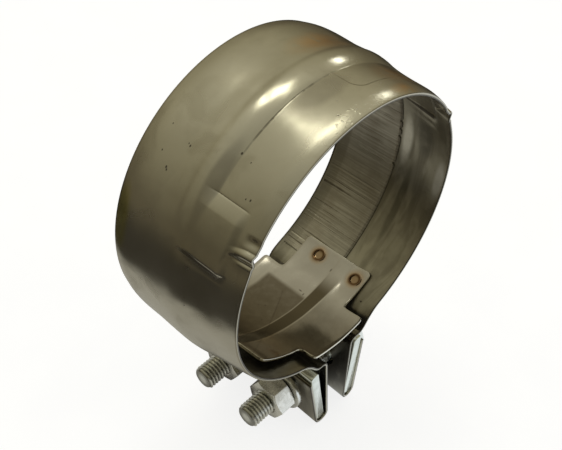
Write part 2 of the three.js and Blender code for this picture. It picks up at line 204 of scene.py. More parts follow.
CREASE_PATCH = ((-0.017, CREASE_ACROSS), (0.030, 0.01))
# A faint dark line painted on the outside, turning a rounded corner
DARK_CORNER_LINE = {"corner": (0.0115, -0.0158, 0), "radius": 0.0052}
DARK_CORNER_PATCH = ((0.012, -0.016), (0.018, 0.011))
FOOT_LINE = {"along": 0.0811, "slope": 0.06, "middle": 0.012}
# Single dark marks on the outside of the band: place and radius
BAND_MARKS = [
    ((-0.0400, -0.0082), 0.00050), ((-0.0539, 0.0196), 0.00035), ((-0.0444, 0.0215), 0.00030),
    ((-0.0475, 0.0102), 0.00045), ((-0.0470, 0.0112), 0.00030), ((-0.0582, 0.0147), 0.00055),
    ((-0.0590, 0.0141), 0.00045), ((-0.0409, -0.0131), 0.00030), ((-0.0855, -0.0089), 0.00050),
    ((-0.1038, -0.0088), 0.00035), ((-0.0514, -0.0208), 0.00045), ((-0.0519, -0.0190), 0.00035),
]
TONGUE_MARKS = [
    ((-0.0108, 0.0110), (0.0006, 0.0004)), ((-0.0087, 0.0087), (0.0008, 0.0004)),
    ((0.0100, 0.0031), (0.0004, 0.0012)), ((0.0092, 0.0005), (0.0010, 0.0004)),
    ((0.0275, -0.0015), (0.0012, 0.0004)), ((-0.0178, 0.0025), (0.0005, 0.0005)),
]
TONGUE_SCRATCH = {"across": 0.0071, "slope": 0.545, "bow": 1.2}

# Colours of each material. All tones are linear.
# Of the band's tones, crease is painted shade in the step's crease and inner_corner is painted shade inside
# the cut edges
BAND_TONES = {
    "dark": (0.52, 0.495, 0.415), "light": (0.62, 0.595, 0.51), "smudge": (0.40, 0.37, 0.29),
    "mottle": (0.42, 0.39, 0.31), "heat": (0.74, 0.47, 0.23), "streak": (0.19, 0.175, 0.13),
    "inside": (0.36, 0.34, 0.27), "blotch": (0.20, 0.18, 0.14), "crease": (0.13, 0.115, 0.085),
    "corner_line": (0.22, 0.19, 0.13), "outer_corner": (0.44, 0.41, 0.33), "inner_corner": (0.085, 0.075, 0.055),
    "mark": (0.06, 0.05, 0.04),
}
LINER_TONES = {
    "dark": (0.36, 0.335, 0.275), "light": (0.55, 0.525, 0.45), "stain": (0.27, 0.235, 0.18),
    "far_edge": (0.27, 0.25, 0.195), "score": (0.10, 0.085, 0.06),
}
# Among the tongue's tones, the rim's is a painted highlight and the dark one for the faces beside the ramp a
# painted reflection
TONGUE_TONES = {
    "dark": (0.41, 0.385, 0.35), "light": (0.50, 0.475, 0.435), "mottle": (0.36, 0.33, 0.28),
    "brown": (0.30, 0.215, 0.125), "ramp": (0.105, 0.085, 0.052), "painted_reflection": (0.135, 0.112, 0.08),
    "edge": (0.70, 0.67, 0.58), "mark": (0.08, 0.06, 0.045),
}
# Heat round a weld: half size in metres, softness, strength and tone, from the halo to the core
WELD_TINTS = [
    (0.0062, 0.65, 0.75, (0.40, 0.24, 0.09)), (0.0038, 0.3, 0.95, (0.10, 0.05, 0.02)),
    (0.0026, 0.4, 0.85, (0.36, 0.26, 0.16)),
]
# The root tone is painted shade in the roots of the thread
ZINC_TONES = {"spangle": (0.62, 0.63, 0.60), "grime": (0.34, 0.33, 0.29), "root_shade": (0.14, 0.135, 0.11)}
# Zinc plate: light and dark tone, least and most roughness, and how fine its spangle is
ZINC = {
    "bar": ((0.76, 0.79, 0.73), (0.66, 0.69, 0.63), (0.2, 0.24), 300),
    "thread": ((0.93, 0.94, 0.90), (0.76, 0.78, 0.74), (0.2, 0.32), 900),
    "nut": ((0.88, 0.87, 0.82), (0.72, 0.72, 0.68), (0.2, 0.32), 700),
    "washer": ((0.84, 0.85, 0.82), (0.66, 0.67, 0.64), (0.2, 0.32), 700),
}
PAPER_TONES = ((0.42, 0.44, 0.53), (0.45, 0.47, 0.56))

# The camera's place, in metres, and its sideways and upward directions
CAMERA_PLACE = (-0.1769, -0.1542, 0.2260)
CAMERA_RIGHT = (0.69139, -0.72217, 0.02134)
CAMERA_UP = (0.50318, 0.50251, 0.70306)
CAMERA_LENS = 49.97
CAMERA_SENSOR = 36
FLOOR_Z = -0.1213
FLOOR_HALF_SIZE = 3.0

# Studio, in metres. A sky tone's height is the sine of its elevation.
SKY_TONES = [
    (0.0, (0.165, 0.142, 0.088)), (0.17, (0.265, 0.235, 0.148)), (0.34, (0.365, 0.332, 0.220)),
    (0.50, (0.45, 0.415, 0.282)), (0.64, (0.51, 0.475, 0.335)), (0.77, (0.58, 0.545, 0.395)),
    (0.87, (0.66, 0.63, 0.47)), (1.0, (0.72, 0.69, 0.53)),
]
WINDOW_SIDE = (0.574, 0.819, 0)
WINDOW_GAIN = 0.3
DOOR = {"side": (0.55, -0.83, 0.08), "from": 0.90, "to": 0.96, "tone": (0.80, 0.79, 0.70)}
TABLE_TONE = (0.385, 0.372, 0.318)
TABLE_FRONT = {"side": (0.65, -0.76, 0), "from": 0.35, "to": 0.85, "tone": (0.84, 0.88, 0.90)}
TABLE_EDGE = (0.215, 0.232)
DIM_ROOM_TONE = (0.034, 0.029, 0.018)
FAR_FLOOR = {"from": 0.50, "to": 1.05, "tone": (0.125, 0.106, 0.064)}
# A painted shadow on the table under the part: its centre, size, softness and tone
SHADOW_UNDER_PART = {
    "centre": (-0.008, 0.014), "size": (0.058, 0.050), "softness": 0.5, "tone": (0.05, 0.045, 0.035),
}
LAMPS = [
    ("overhead", (0.18, 0.24, 0.95), (0.40, 0.22), 0.9, (1, 0.98, 0.80)),
    ("side", (0.83, 0.20, 0.50), (0.10, 0.10), 0.16, (1, 0.99, 0.88)),
]


# ---------------------------------------------------------------- shapes of curves


def smooth(value, low, high):
    """0 below low, 1 above high, and a smooth step in between."""
    t = np.clip((value - low) / (high - low), 0, 1)
    return t * t * (3 - 2 * t)


def lerp(a, b, t):
    return a + (b - a) * t


def curve_through(points, at):
    """Height at each place of the smooth curve through the points."""
    xs, heights = np.array(points, float).T
    ahead = np.minimum(np.arange(len(xs)) + 1, len(xs) - 1)
    behind = np.maximum(np.arange(len(xs)) - 1, 0)
    slopes = (heights[ahead] - heights[behind]) / (xs[ahead] - xs[behind])
    i = np.clip(np.searchsorted(xs, at) - 1, 0, len(xs) - 2)
    h = xs[i + 1] - xs[i]
    t = (at - xs[i]) / h
    return (
        (2 * t**3 - 3 * t**2 + 1) * heights[i]
        + (t**3 - 2 * t**2 + t) * h * slopes[i]
        + (3 * t**2 - 2 * t**3) * heights[i + 1]
        + (t**3 - t**2) * h * slopes[i + 1]
    )


def bump_at(value, middle, half_width):
    """A rounded bump, 1 at the middle and 0 beyond the half width."""
    t = np.clip(1 - ((value - middle) / half_width) ** 2, 0, 1)
    return t * t


def pad_height(angle, y):
    """How far the pressed pad of the shoulder is raised, from 0 to 1. Its foot has a small crisp step
    with a shallow dent below it."""
    foot = PAD["foot"] + PAD["foot_lean"] * (y - PAD["foot_middle"])
    crisp = PAD["crisp"] * smooth(angle, foot - PAD["crisp_from"], foot + PAD["crisp_to"])
    gentle = (1 - PAD["crisp"]) * smooth(angle, foot - PAD["rise"], foot)
    top = 1 - np.clip((angle - PAD["top_from"]) / PAD["top_fade"], 0, 1) ** PAD["top_power"]
    dent = PAD_DENT["depth"] * bump_at(angle, foot - PAD_DENT["below_foot"], PAD_DENT["reach"])
    return ((crisp + gentle) * top - dent) * smooth(y, *PAD["near"]) * (1 - smooth(y, *PAD["far"]))


def rim_folds(angle, y):
    """What the ridge, dimple, second fold and lip of the shoulder add to the radius near the rim."""
    to_rim = 1 - smooth(y, *RIM_FOLD_FADE)
    ridge = bump_at(angle, RIDGE["angle"] - RIDGE["lean"] * (1 - to_rim), RIDGE["reach"])
    added = (RIDGE["low"] + RIDGE["rise"] * to_rim) * ridge * (1 - smooth(y, *RIDGE["fade"]))
    dimple = bump_at(angle, DIMPLE["angle"], DIMPLE["reach"]) * bump_at(y, DIMPLE["y"], DIMPLE["y_reach"])
    added -= DIMPLE["depth"] * dimple
    added -= SECOND_FOLD["depth"] * bump_at(angle, SECOND_FOLD["angle"], SECOND_FOLD["reach"]) * to_rim
    return added + LIP["height"] * bump_at(angle, LIP["angle"], LIP["reach"]) * (1 - smooth(y, *LIP["fade"]))


def band_radius(angle, y):
    """Outer radius of the band, with its shoulder."""
    stepped = smooth(angle, SHOULDER_ANGLE - SHOULDER_BLEND, SHOULDER_ANGLE + SHOULDER_BLEND)
    r = lerp(curve_through(TAPERED_PROFILE, y), curve_through(STEPPED_PROFILE, y), stepped)
    pad_radius = lerp(PAD["near_radius"], PAD["far_radius"], smooth(y, *PAD["radius_change"]))
    r = lerp(r, np.maximum(r, pad_radius), pad_height(angle, y))
    crease = bump_at(angle, PAD_CREASE["angle"], PAD_CREASE["reach"])
    crease *= smooth(y, *PAD_CREASE["near"]) * (1 - smooth(y, *PAD_CREASE["far"]))
    return r - PAD_CREASE["depth"] * crease + rim_folds(angle, y)


# ---------------------------------------------------------------- making meshes


def make_object(name, points, faces):
    """An object from points in millimetres."""
    mesh = bpy.data.meshes.new(name)
    mesh.from_pydata((np.asarray(points, float) * MM).tolist(), [], [list(f) for f in faces])
    mesh.update()
    made = bpy.data.objects.new(name, mesh)
    bpy.context.scene.collection.objects.link(made)
    return made


def set_point_values(made, name, values):
    attribute = made.data.attributes.new(name, "FLOAT", "POINT")
    attribute.data.foreach_set("value", np.asarray(values, np.float32))


def set_sheet_map(made, places):
    """A map of the flat sheet, in metres, from each point's place along and across it."""
    corners = np.zeros(len(made.data.loops), np.int32)
    made.data.loops.foreach_get("vertex_index", corners)
    layer = made.data.uv_layers.new(name="sheet")
    layer.data.foreach_set("uv", (np.asarray(places, float)[corners] * MM).astype(np.float32).ravel())


def bake_modifiers(made):
    graph = bpy.context.evaluated_depsgraph_get()
    baked = bpy.data.meshes.new_from_object(
        made.evaluated_get(graph), preserve_all_data_layers=True, depsgraph=graph
    )
    made.modifiers.clear()
    made.data = baked


def boolean(made, tool, operation):
    """Cuts, joins or intersects a closed object with another, which is used up."""
    modifier = made.modifiers.new("cut", "BOOLEAN")
    modifier.operation = operation
    modifier.solver = "MANIFOLD"
    modifier.object = tool
    bake_modifiers(made)
    bpy.data.objects.remove(tool)
    return made


def shade(made, sharp_from=38):
    """Smooth shading that keeps edges sharp above an angle."""
    made.data.shade_smooth()
    made.data.set_sharp_from_angle(angle=math.radians(sharp_from))


def spin(name, outline, sides, y=0.0, z=0.0):
    """Solid turned about X from (x, radius) points. The outline starts and ends on the axis."""
    turns = np.arange(sides) * 2 * math.pi / sides
    rings = outline[1:-1]
    points = [(outline[0][0], y, z)]
    for x, r in rings:
        points += [(x, y + r * math.cos(t), z + r * math.sin(t)) for t in turns]
    points.append((outline[-1][0], y, z))
    faces = []
    for k in range(sides):
        after = (k + 1) % sides
        faces.append((0, 1 + after, 1 + k))
        for ring in range(len(rings) - 1):
            a = 1 + ring * sides
            b = a + sides
            faces.append((a + k, a + after, b + after, b + k))
        last = 1 + (len(rings) - 1) * sides
        faces.append((last + k, last + after, len(points) - 1))
    return make_object(name, points, faces)


def spin_ring(name, outline, sides, y, z):
    """Ring turned about X from a closed outline of (x, radius) points."""
    points = []
    for x, r in outline:
        for k in range(sides):
            turn = 2 * math.pi * k / sides
            points.append((x, y + r * math.cos(turn), z + r * math.sin(turn)))
    faces = []
    for i in range(len(outline)):
        a = i * sides
        b = (i + 1) % len(outline) * sides
        for k in range(sides):
            after = (k + 1) % sides
            faces.append((a + k, b + k, b + after, a + after))
    return make_object(name, points, faces)


def bolt_drills(name, radius, x0, x1):
    """Two rods through both bolt places, as one object to cut with."""
    made = None
    for y in BOLT_PLACES.values():
        rod = spin(name, [(x0, 0), (x0, radius), (x1, radius), (x1, 0)], 64, y, BOLT["z"])
        made = rod if made is None else boolean(made, rod, "UNION")
    return made


def finish_piece(made, material, slot, *nodes):
    made.data.materials.clear()
    made.data.materials.append(material)
    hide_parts(*nodes)


# ---------------------------------------------------------------- band and liner


def spans(marks):
    """Places from start to end of each (start, end, step), evenly spaced and without repeats."""
    places = [marks[0][0]]
    for start, end, step in marks:
        count = max(1, round(abs(end - start) / step))
        places += [lerp(start, end, k / count) for k in range(1, count + 1)]
    return places


def rounded_line(corners):
    """Points along straight lines with rounded corners, from (x, z, length cut from each side)."""
    step = 0.9
    long_step = 2.5
    long_length = 12
    corner_steps = 6
    points = [np.array(corners[0][:2], float)]
    for k in range(1, len(corners)):
        corner = np.array(corners[k][:2], float)
        back = points[-1] - corner
        cut = corners[k][2]
        start = corner + back / np.linalg.norm(back) * cut
        length = np.linalg.norm(start - points[-1])
        count = max(1, round(length / (step if length < long_length else long_step)))
        points += [lerp(points[-1], start, n / count) for n in range(1, count + 1)]
        if cut:
            ahead = np.array(corners[k + 1][:2], float) - corner
            end = corner + ahead / np.linalg.norm(ahead) * cut
            for n in range(1, corner_steps + 1):
                t = n / corner_steps
                points.append((1 - t) ** 2 * start + 2 * t * (1 - t) * corner + t**2 * end)
    return np.array(points)


def ear_line(ear):
    """Middle line of an ear's sheet on the +X side: from the ring, down the wall by the bolt gap,
    round under the bar and up the outer leg."""
    lean = math.tan(math.radians(ear["lean"]))
    leg_offset = BAR["thickness"] / 2 / math.cos(math.radians(ear["lean"])) + FIT_GAP + SHEET / 2
    top = EAR_TOP_Z - SHEET / 2
    bottom = LOOP_BOTTOM_Z + SHEET / 2

    def leg_x(z):
        return ear["bar_x"] + (z - BAR["z"]) * lean + leg_offset

    def wall_x(z):
        share = (z - bottom) / (top - bottom)
        return lerp(ear["wall_bottom"], ear["wall_top"], share) + SHEET / 2

    return rounded_line([
        (*NECK, 0),
        (DIP[0], top, DIP_CORNER),
        (wall_x(top), top, FOLD_CORNER),
        (wall_x(bottom), bottom, LOOP_CORNER),
        (leg_x(bottom), bottom, LOOP_CORNER),
        (leg_x(LEG_TIP_Z), LEG_TIP_Z, 0),
    ])


def far_drop(depth, y):
    """How far the top of an ear hangs lower towards the far side, where the ring is larger."""
    drop = 1 - smooth(depth, -DIP[1] + FAR_DROP["fade_from"], -DIP[1] + FAR_DROP["fade_to"])
    return FAR_DROP["share"] * drop * (curve_through(TAPERED_PROFILE, y) - TAPERED_PROFILE[0][1])


def ring_turns():
    """Turns from -Z by way of -X over the top, closer together round the shoulders."""
    half = spans(RING_SPANS)
    return np.array(half + [360 - t for t in reversed(half[:-1])])


def ring_line(turns, radius):
    """Points of a ring in its own plane."""
    turn = np.radians(turns)
    return np.stack([-radius * np.sin(turn), -radius * np.cos(turn)], axis=-1)


def band_line(turns, y):
    """Middle line of the band at a place across it, from one leg tip to the other, as (x, z)."""
    ring = ring_line(turns, band_radius(np.minimum(turns, 360 - turns), y) - SHEET / 2)
    ends = []
    for ear in (NUT_EAR, HEAD_EAR):
        line = ear_line(ear)
        line[:, 1] -= far_drop(-line[:, 1], y)
        line[:, 0] *= ear["side"]
        ends.append(line)
    shares = np.linspace(0, 1, NECK_STEPS + 1)[1:-1, None]
    left_join = lerp(ends[0][0], ring[0], shares)
    right_join = lerp(ring[-1], ends[1][0], shares)
    return np.concatenate([ends[0][::-1], left_join, ring, right_join, ends[1]])


def band_middle(ys):
    """Middle surface of the band: rows along the strip, columns across it. Each neck's bend is eased."""
    turns = ring_turns()
    middle = np.stack([band_line(turns, y) for y in ys], axis=1)
    count = EASED["rows"]
    left = len(ear_line(NUT_EAR)) + NECK_STEPS - EASED["into_ear"]
    right_ring_end = len(middle) - len(ear_line(HEAD_EAR)) - NECK_STEPS
    right = right_ring_end - (count - EASED["into_ear"])
    for start in (left, right):
        for _ in range(EASED["passes"]):
            before = middle[start - 1:start - 1 + count]
            after = middle[start + 1:start + 1 + count]
            middle[start:start + count] = (before + 2 * middle[start:start + count] + after) / 4
    return middle


def edge_places():
    """(inset, depth) from a cut edge along its rounded corner to the face of the sheet."""
    turns = np.radians([0, 30, 60, 90])
    return [(EDGE_ROUND * (1 - math.cos(t)), EDGE_ROUND * (1 - math.sin(t))) for t in turns]


def strip_points(middle, ys, depths, half_thickness):
    """Points of a strip of sheet. Each row goes across the outer face and back across the inner one."""
    along = np.gradient(middle, axis=0)
    along /= np.linalg.norm(along, axis=2, keepdims=True)
    normal = np.stack([-along[..., 1], along[..., 0]], axis=-1)
    offset = (half_thickness[:, None] - np.asarray(depths)[None, :])[..., None] * normal
    flat_y = np.broadcast_to(np.asarray(ys)[None, :, None], (*middle.shape[:2], 1))
    sides = []
    for plane, y in ((middle + offset, flat_y), ((middle - offset)[:, ::-1], flat_y[:, ::-1])):
        sides.append(np.concatenate([plane[..., :1], y, plane[..., 1:]], axis=2))
    return np.concatenate(sides, axis=1)


def strip_faces(rows, columns):
    """Faces round a strip and at its two ends."""
    around = 2 * columns
    index = np.arange(rows * around).reshape(rows, around)
    beyond = np.roll(index, -1, axis=1)
    faces = np.stack([index[:-1], index[1:], beyond[1:], beyond[:-1]], axis=-1).reshape(-1, 4).tolist()
    for k in range(columns - 1):
        pair = (k, k + 1, around - 2 - k, around - 1 - k)
        faces.append([index[0, p] for p in pair])
        faces.append([index[-1, p] for p in reversed(pair)])
    return faces


def map_strip(made, middle, across):
    """Sheet map of a strip, measured along its middle line from the top of the ring."""
    line = middle[:, middle.shape[1] // 2]
    length = np.concatenate([[0], np.cumsum(np.linalg.norm(np.diff(line, axis=0), axis=1))])
    length -= length[np.argmax(line[:, 1])]
    places = np.stack(np.broadcast_arrays(length[:, None], across[None, :]), axis=-1)
    set_sheet_map(made, places.reshape(-1, 2))


def sheet_strip(name, middle, ys, depths, half_thickness):
    """Closed strip of sheet about a middle surface. Depths round its long edges, and the half
    thickness of each row rounds its ends."""
    rows, columns = middle.shape[:2]
    points = strip_points(middle, ys, depths, half_thickness)
    made = make_object(name, points.reshape(-1, 3), strip_faces(rows, columns))
    map_strip(made, middle, points[0, :, 1])
    reach = len(edge_places())
    on_edge = np.zeros((rows, 2 * columns))
    for start in (0, columns - reach, columns, 2 * columns - reach):
        on_edge[:, start:start + reach] = 1
    on_edge[:reach] = 1
    on_edge[-reach:] = 1
    set_point_values(made, "edge", on_edge.ravel())
    inner = np.zeros((rows, 2 * columns))
    inner[:, columns:] = 1
    set_point_values(made, "inner", inner.ravel())
    return made


def band_columns():
    """Places across the band, and their depths below its faces, which round its long edges."""
    edge = edge_places()[:-1]
    face = spans(BAND_SPANS)
    ys = [NEAR_Y + inset for inset, _ in edge] + face + [FAR_Y - inset for inset, _ in reversed(edge)]
    depths = [depth for _, depth in edge] + [0] * len(face) + [depth for _, depth in reversed(edge)]
    return ys, depths


def round_tips(middle):
    """The middle surface with rows that round its two ends, and each row's half thickness."""
    edge = edge_places()
    tips = []
    for end, inward in ((middle[0], middle[1] - middle[0]), (middle[-1], middle[-2] - middle[-1])):
        direction = inward / np.linalg.norm(inward, axis=1, keepdims=True)
        tips.append([end + direction * inset for inset, _ in edge])
    middle = np.concatenate([np.stack(tips[0]), middle[1:-1], np.stack(tips[1][::-1])])
    half_thickness = np.full(len(middle), SHEET / 2)
    for k, (_, depth) in enumerate(edge):
        half_thickness[k] -= depth
        half_thickness[-1 - k] -= depth
    return middle, half_thickness


def make_band(material):
    ys, depths = band_columns()
    middle, half_thickness = round_tips(band_middle(ys))
    made = sheet_strip("band", middle, ys, depths, half_thickness)
    boolean(made, bolt_drills("drill", EAR_HOLE_RADIUS, -DRILL_REACH, DRILL_REACH), "DIFFERENCE")
    shade(made)
    finish_piece(made, material, "band_steel", "band_left", "band_right")
    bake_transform(made)
    return made


def rib_depth(turns):
    """How deep the liner's fine ribs are at each place round the ring, with a few deeper scores."""
    places = np.radians(turns) * RIBS["radius"]
    ribs = sum(depth * np.sin(places * 2 * math.pi / wave + phase) for depth, wave, phase in RIBS["waves"])
    ribs *= 1 - RIBS["swell"] + RIBS["swell"] * np.sin(places * 2 * math.pi / RIBS["swell_wave"])
    return ribs + sum(SCORES["depth"] * bump_at(turns, turn, SCORES["reach"]) for turn in SCORES["turns"])


def press_liner(made):
    """Ribs the liner's inner face and nicks its near edge."""
    points = np.array([v.co for v in made.data.vertices]) / MM
    turn = np.degrees(np.arctan2(-points[:, 0], -points[:, 2])) % 360
    inner = np.zeros(len(points), np.float32)
    made.data.attributes["inner"].data.foreach_get("value", inner)
    radial = np.stack([points[:, 0], 0 * turn, points[:, 2]], axis=1)
    radial /= np.linalg.norm(radial, axis=1, keepdims=True)
    points += radial * (inner * rib_depth(turn))[:, None]
    at_edge = 1 - smooth(points[:, 1], LINER["near"], LINER["near"] + NICKS["fade"])
    for nick in NICKS["turns"]:
        points[:, 1] += NICKS["depth"] * bump_at(turn, nick, NICKS["reach"]) * at_edge
    made.data.vertices.foreach_set("co", (points * MM).astype(np.float32).ravel())


def make_liner(material):
    near = LINER["near"]
    step = LINER["step"]
    turns = np.arange(LINER["left_end"], 360 - LINER["right_end"] + step / 2, step)
    ys = spans(LINER_SPANS)
    columns = []
    for y in ys:
        gap = lerp(LINER["edge_gap"], FIT_GAP, smooth(y, near, near + LINER["gap_over"]))
        around = np.minimum(band_radius(np.minimum(turns, 360 - turns), y), LINER["largest_radius"])
        columns.append(ring_line(turns, around - SHEET - gap - LINER["thickness"] / 2))
    thinning = [LINER["edge_thinning"] * (1 - smooth(y, near, near + LINER["thin_over"])) for y in ys]
    half_thickness = np.full(len(turns), LINER["thickness"] / 2)
    made = sheet_strip("liner", np.stack(columns, axis=1), ys, thinning, half_thickness)
    press_liner(made)
    shade(made)
    finish_piece(made, material, "liner_steel", "liner_left", "liner_right")
    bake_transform(made)
    return made


# ---------------------------------------------------------------- tongue


def round_corner(corner, before, after, cut, steps):
    """Points of a corner rounded between its two neighbours."""
    start = corner + (before - corner) / np.linalg.norm(before - corner) * cut
    end = corner + (after - corner) / np.linalg.norm(after - corner) * cut
    shares = [n / steps for n in range(steps + 1)]
    return [(1 - t) ** 2 * start + 2 * t * (1 - t) * corner + t**2 * end for t in shares]


def tongue_outline(corner_steps=7, step=1.0):
    """Cross-shaped plan seen along Z, with rounded corners, as evenly spaced points."""

    def reach(name):
        return TONGUE["plan_radius"] * math.sin(math.radians(TONGUE[name]))

    left = TONGUE["left_tab"]
    right = TONGUE["right_tab"]
    wide = TONGUE["width"] / 2
    near_side = [
        (-reach("left_end"), -left), (-reach("wide_left"), -left), (-reach("wide_left"), -wide),
        (reach("wide_right"), -wide), (reach("wide_right"), -right), (reach("right_end"), -right),
    ]
    far_side = [(x, -y) for x, y in reversed(near_side)]
    far_side[-1] = (-reach("far_left_end"), left)
    corners = np.array(near_side + far_side)
    count = len(corners)
    rounds = [
        round_corner(corners[k], corners[k - 1], corners[(k + 1) % count], TONGUE["corner"], corner_steps)
        for k in range(count)
    ]
    points = []
    for k, around in enumerate(rounds):
        ahead = rounds[(k + 1) % count][0]
        parts = max(1, round(np.linalg.norm(ahead - around[-1]) / step))
        points += around + [lerp(around[-1], ahead, n / parts) for n in range(1, parts)]
    return np.array(points)


def tongue_radius(angle, y):
    """Outer radius of the tongue. Its welded end lies close to the band on the near side of the liner,
    and its free end, on -X, spirals inwards so that the band can close over it."""
    free = np.clip((FREE_END["from"] - angle) / (TONGUE["left_end"] + FREE_END["from"]), 0, 1)
    drawn_in = FREE_END["drawn_in"] * free * smooth(free, 0, FREE_END["ease"])
    radius = curve_through(TONGUE_PROFILE, y) - drawn_in
    seated = np.minimum(curve_through(TAPERED_PROFILE, y) - SHEET - SEAT["gap"], SEAT["largest"])
    return lerp(radius, seated, smooth(angle, *SEAT["angles"]) * (1 - smooth(y, *SEAT["fade"])))


def weld_height(angle, y):
    """The raised ring and dished middle that a spot weld leaves."""
    height = np.zeros_like(angle)
    for weld_angle, weld_y in WELD_SPOTS:
        distance = np.hypot(np.radians(angle - weld_angle) * TONGUE["map_radius"], y - weld_y)
        height += WELD["ring"] * bump_at(distance, WELD["ring_radius"], WELD["ring_reach"])
        height -= WELD["dish"] * (1 - smooth(distance, *WELD["dish_edge"]))
    return height


def on_tongue(plan, depth):
    """Points of the tongue at a depth below its outer face, for points of its plan."""
    x, y = plan.T
    angle = np.zeros_like(x)
    for _ in range(6):
        angle = np.degrees(np.arcsin(x / tongue_radius(angle, y)))
    radius = tongue_radius(angle, y) - depth
    radius = radius - np.where(depth > SHEET / 2, weld_height(angle, y), 0)
    turn = np.radians(angle)
    return np.stack([radius * np.sin(turn), y, -radius * np.cos(turn)], axis=1), angle


def weld_points(x, y):
    """A weld's centre and the rings of points about it."""
    points = [(x, y)]
    for ring in range(1, WELD_RINGS["count"] + 1):
        radius = WELD_RINGS["step"] * ring
        count = WELD_RINGS["least"] + WELD_RINGS["more"] * ring
        for k in range(count):
            turn = 2 * math.pi * (k + 0.5 * (ring % 2)) / count
            points.append((x + radius * math.cos(turn), y + radius * math.sin(turn)))
    return points


def points_inside(loop, inward):
    """Points inside the tongue's plan: a net that stops short of the edge and the welds, and the welds'
    own rings."""
    welds = [(TONGUE["map_radius"] * math.sin(math.radians(angle)), y) for angle, y in WELD_SPOTS]
    columns = np.arange(TONGUE_NET["x_from"], TONGUE_NET["x_to"], TONGUE_NET["x_step"])
    inside = []
    for place in [(x, y) for x in columns for y in spans(TONGUE_SPANS)]:
        gap = loop - place
        nearest = np.argmin(np.hypot(*gap.T))
        clear = np.hypot(*gap[nearest]) > TONGUE_NET["edge_room"] and gap[nearest] @ inward[nearest] < 0
        if clear and all(math.dist(place, weld) > TONGUE_NET["weld_room"] for weld in welds):
            inside.append(place)
    for x, y in welds:
        inside += weld_points(x, y)
    return inside


def tongue_layers(flat, outline, inward):
    """Each layer is a plan and its depth: the two faces, then the rings round the rounded rim."""
    corner = edge_places()[:-1]
    layers = [(flat, 0.0), (flat, SHEET)]
    layers += [(outline + inward * inset, depth) for inset, depth in reversed(corner)]
    layers += [(outline + inward * inset, SHEET - depth) for inset, depth in corner]
    return layers


def make_tongue(material):
    outline = tongue_outline()
    tangent = np.roll(outline, -1, axis=0) - np.roll(outline, 1, axis=0)
    tangent /= np.linalg.norm(tangent, axis=1, keepdims=True)
    inward = np.stack([-tangent[:, 1], tangent[:, 0]], axis=1)
    count = len(outline)
    loop = outline + inward * EDGE_ROUND
    plan_points = [Vector(p) for p in [*loop, *points_inside(loop, inward)]]
    flat, _, triangles, *_ = delaunay_2d_cdt(plan_points, [], [list(range(count))], 1, 1e-6)
    flat = np.array([tuple(p) for p in flat])
    size = len(flat)
    faces = [tuple(reversed(t)) for t in triangles] + [tuple(size + k for k in t) for t in triangles]
    layers = tongue_layers(flat, outline, inward)
    points = []
    maps = []
    edge = []
    for plan, depth in layers:
        place, angle = on_tongue(plan, np.full(len(plan), depth))
        points.append(place)
        maps.append(np.stack([np.radians(angle) * TONGUE["map_radius"], plan[:, 1]], axis=1))
        edge.append(np.full(len(plan), 0.0 if plan is flat else 1.0))
    # The faces' own outlines are the first points of the flat mesh, in order.
    rim_rings = [range(2 * size + k * count, 2 * size + (k + 1) * count) for k in range(len(layers) - 2)]
    rings = [range(count), *rim_rings, range(size, size + count)]
    for upper, lower in zip(rings, rings[1:]):
        for k in range(count):
            after = (k + 1) % count
            faces.append((upper[k], upper[after], lower[after], lower[k]))
    made = make_object("tongue", np.concatenate(points), faces)
    set_sheet_map(made, np.concatenate(maps))
    set_point_values(made, "edge", np.concatenate(edge))
    shade(made, 50)
    finish_piece(made, material, "tongue_steel", "sealing_tongue")
    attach(made, "right_half")
    return made


# ---------------------------------------------------------------- bars and fasteners


def make_bar(name, ear, material, node, body):
    """Flat bar with rounded long edges, slightly broken end edges and two bolt holes."""
    half = (BAR["thickness"] / 2, BAR["length"] / 2, BAR["height"] / 2)
    corner = BAR["corner"]
    section = []
    for sx, sz, start in ((1, 1, 0), (-1, 1, 90), (-1, -1, 180), (1, -1, 270)):
        for turn in np.radians(start + np.linspace(0, 90, 6)):
            centre = (sx * (half[0] - corner), sz * (half[2] - corner))
            section.append((centre[0] + corner * math.cos(turn), centre[1] + corner * math.sin(turn)))
    section = np.array(section)
    broken = BAR["end_edge"]
    middle = BAR["end_edge_middle"]
    ends = [(-half[1], broken), (-half[1] + middle, middle), (-half[1] + broken, 0.0)]
    ends += [(-y, inset) for y, inset in reversed(ends)]
    points = []
    for y, inset in ends:
        shrink = 1 - inset / np.array([half[0], half[2]])
        points += [(x, y, z) for x, z in section * shrink]
    count = len(section)
    faces = [list(range(count)), list(range(len(points) - 1, len(points) - 1 - count, -1))]
    for layer in range(len(ends) - 1):
        for k in range(count):
            after = (k + 1) % count
            a = layer * count
            b = a + count
            faces.append((a + k, b + k, b + after, a + after))
    made = make_object(name, points, faces)
    lean = Matrix.Rotation(math.radians(ear["side"] * ear["lean"]), 4, "Y")
    place = Matrix.Translation((ear["side"] * ear["bar_x"] * MM, 0, BAR["z"] * MM))
    made.data.transform(place @ lean)
    x0, x1 = (-DRILL_REACH, 0) if ear["side"] < 0 else (0, DRILL_REACH)
    boolean(made, bolt_drills("drill", BAR["hole"], x0, x1), "DIFFERENCE")
    shade(made)
    finish_piece(made, material, "zinc_plate", node)
    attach(made, body)
    return made


def thread_radius(x, turn):
    """Radius of a right-handed thread about +X."""
    share = (x / THREAD_PITCH - turn / (2 * math.pi)) % 1
    from_crest = np.abs(share - 0.5) * THREAD_PITCH
    sunk = np.clip((from_crest - THREAD_PITCH / 16) * math.sqrt(3), 0, THREAD_DEPTH)
    return BOLT["radius"] - sunk


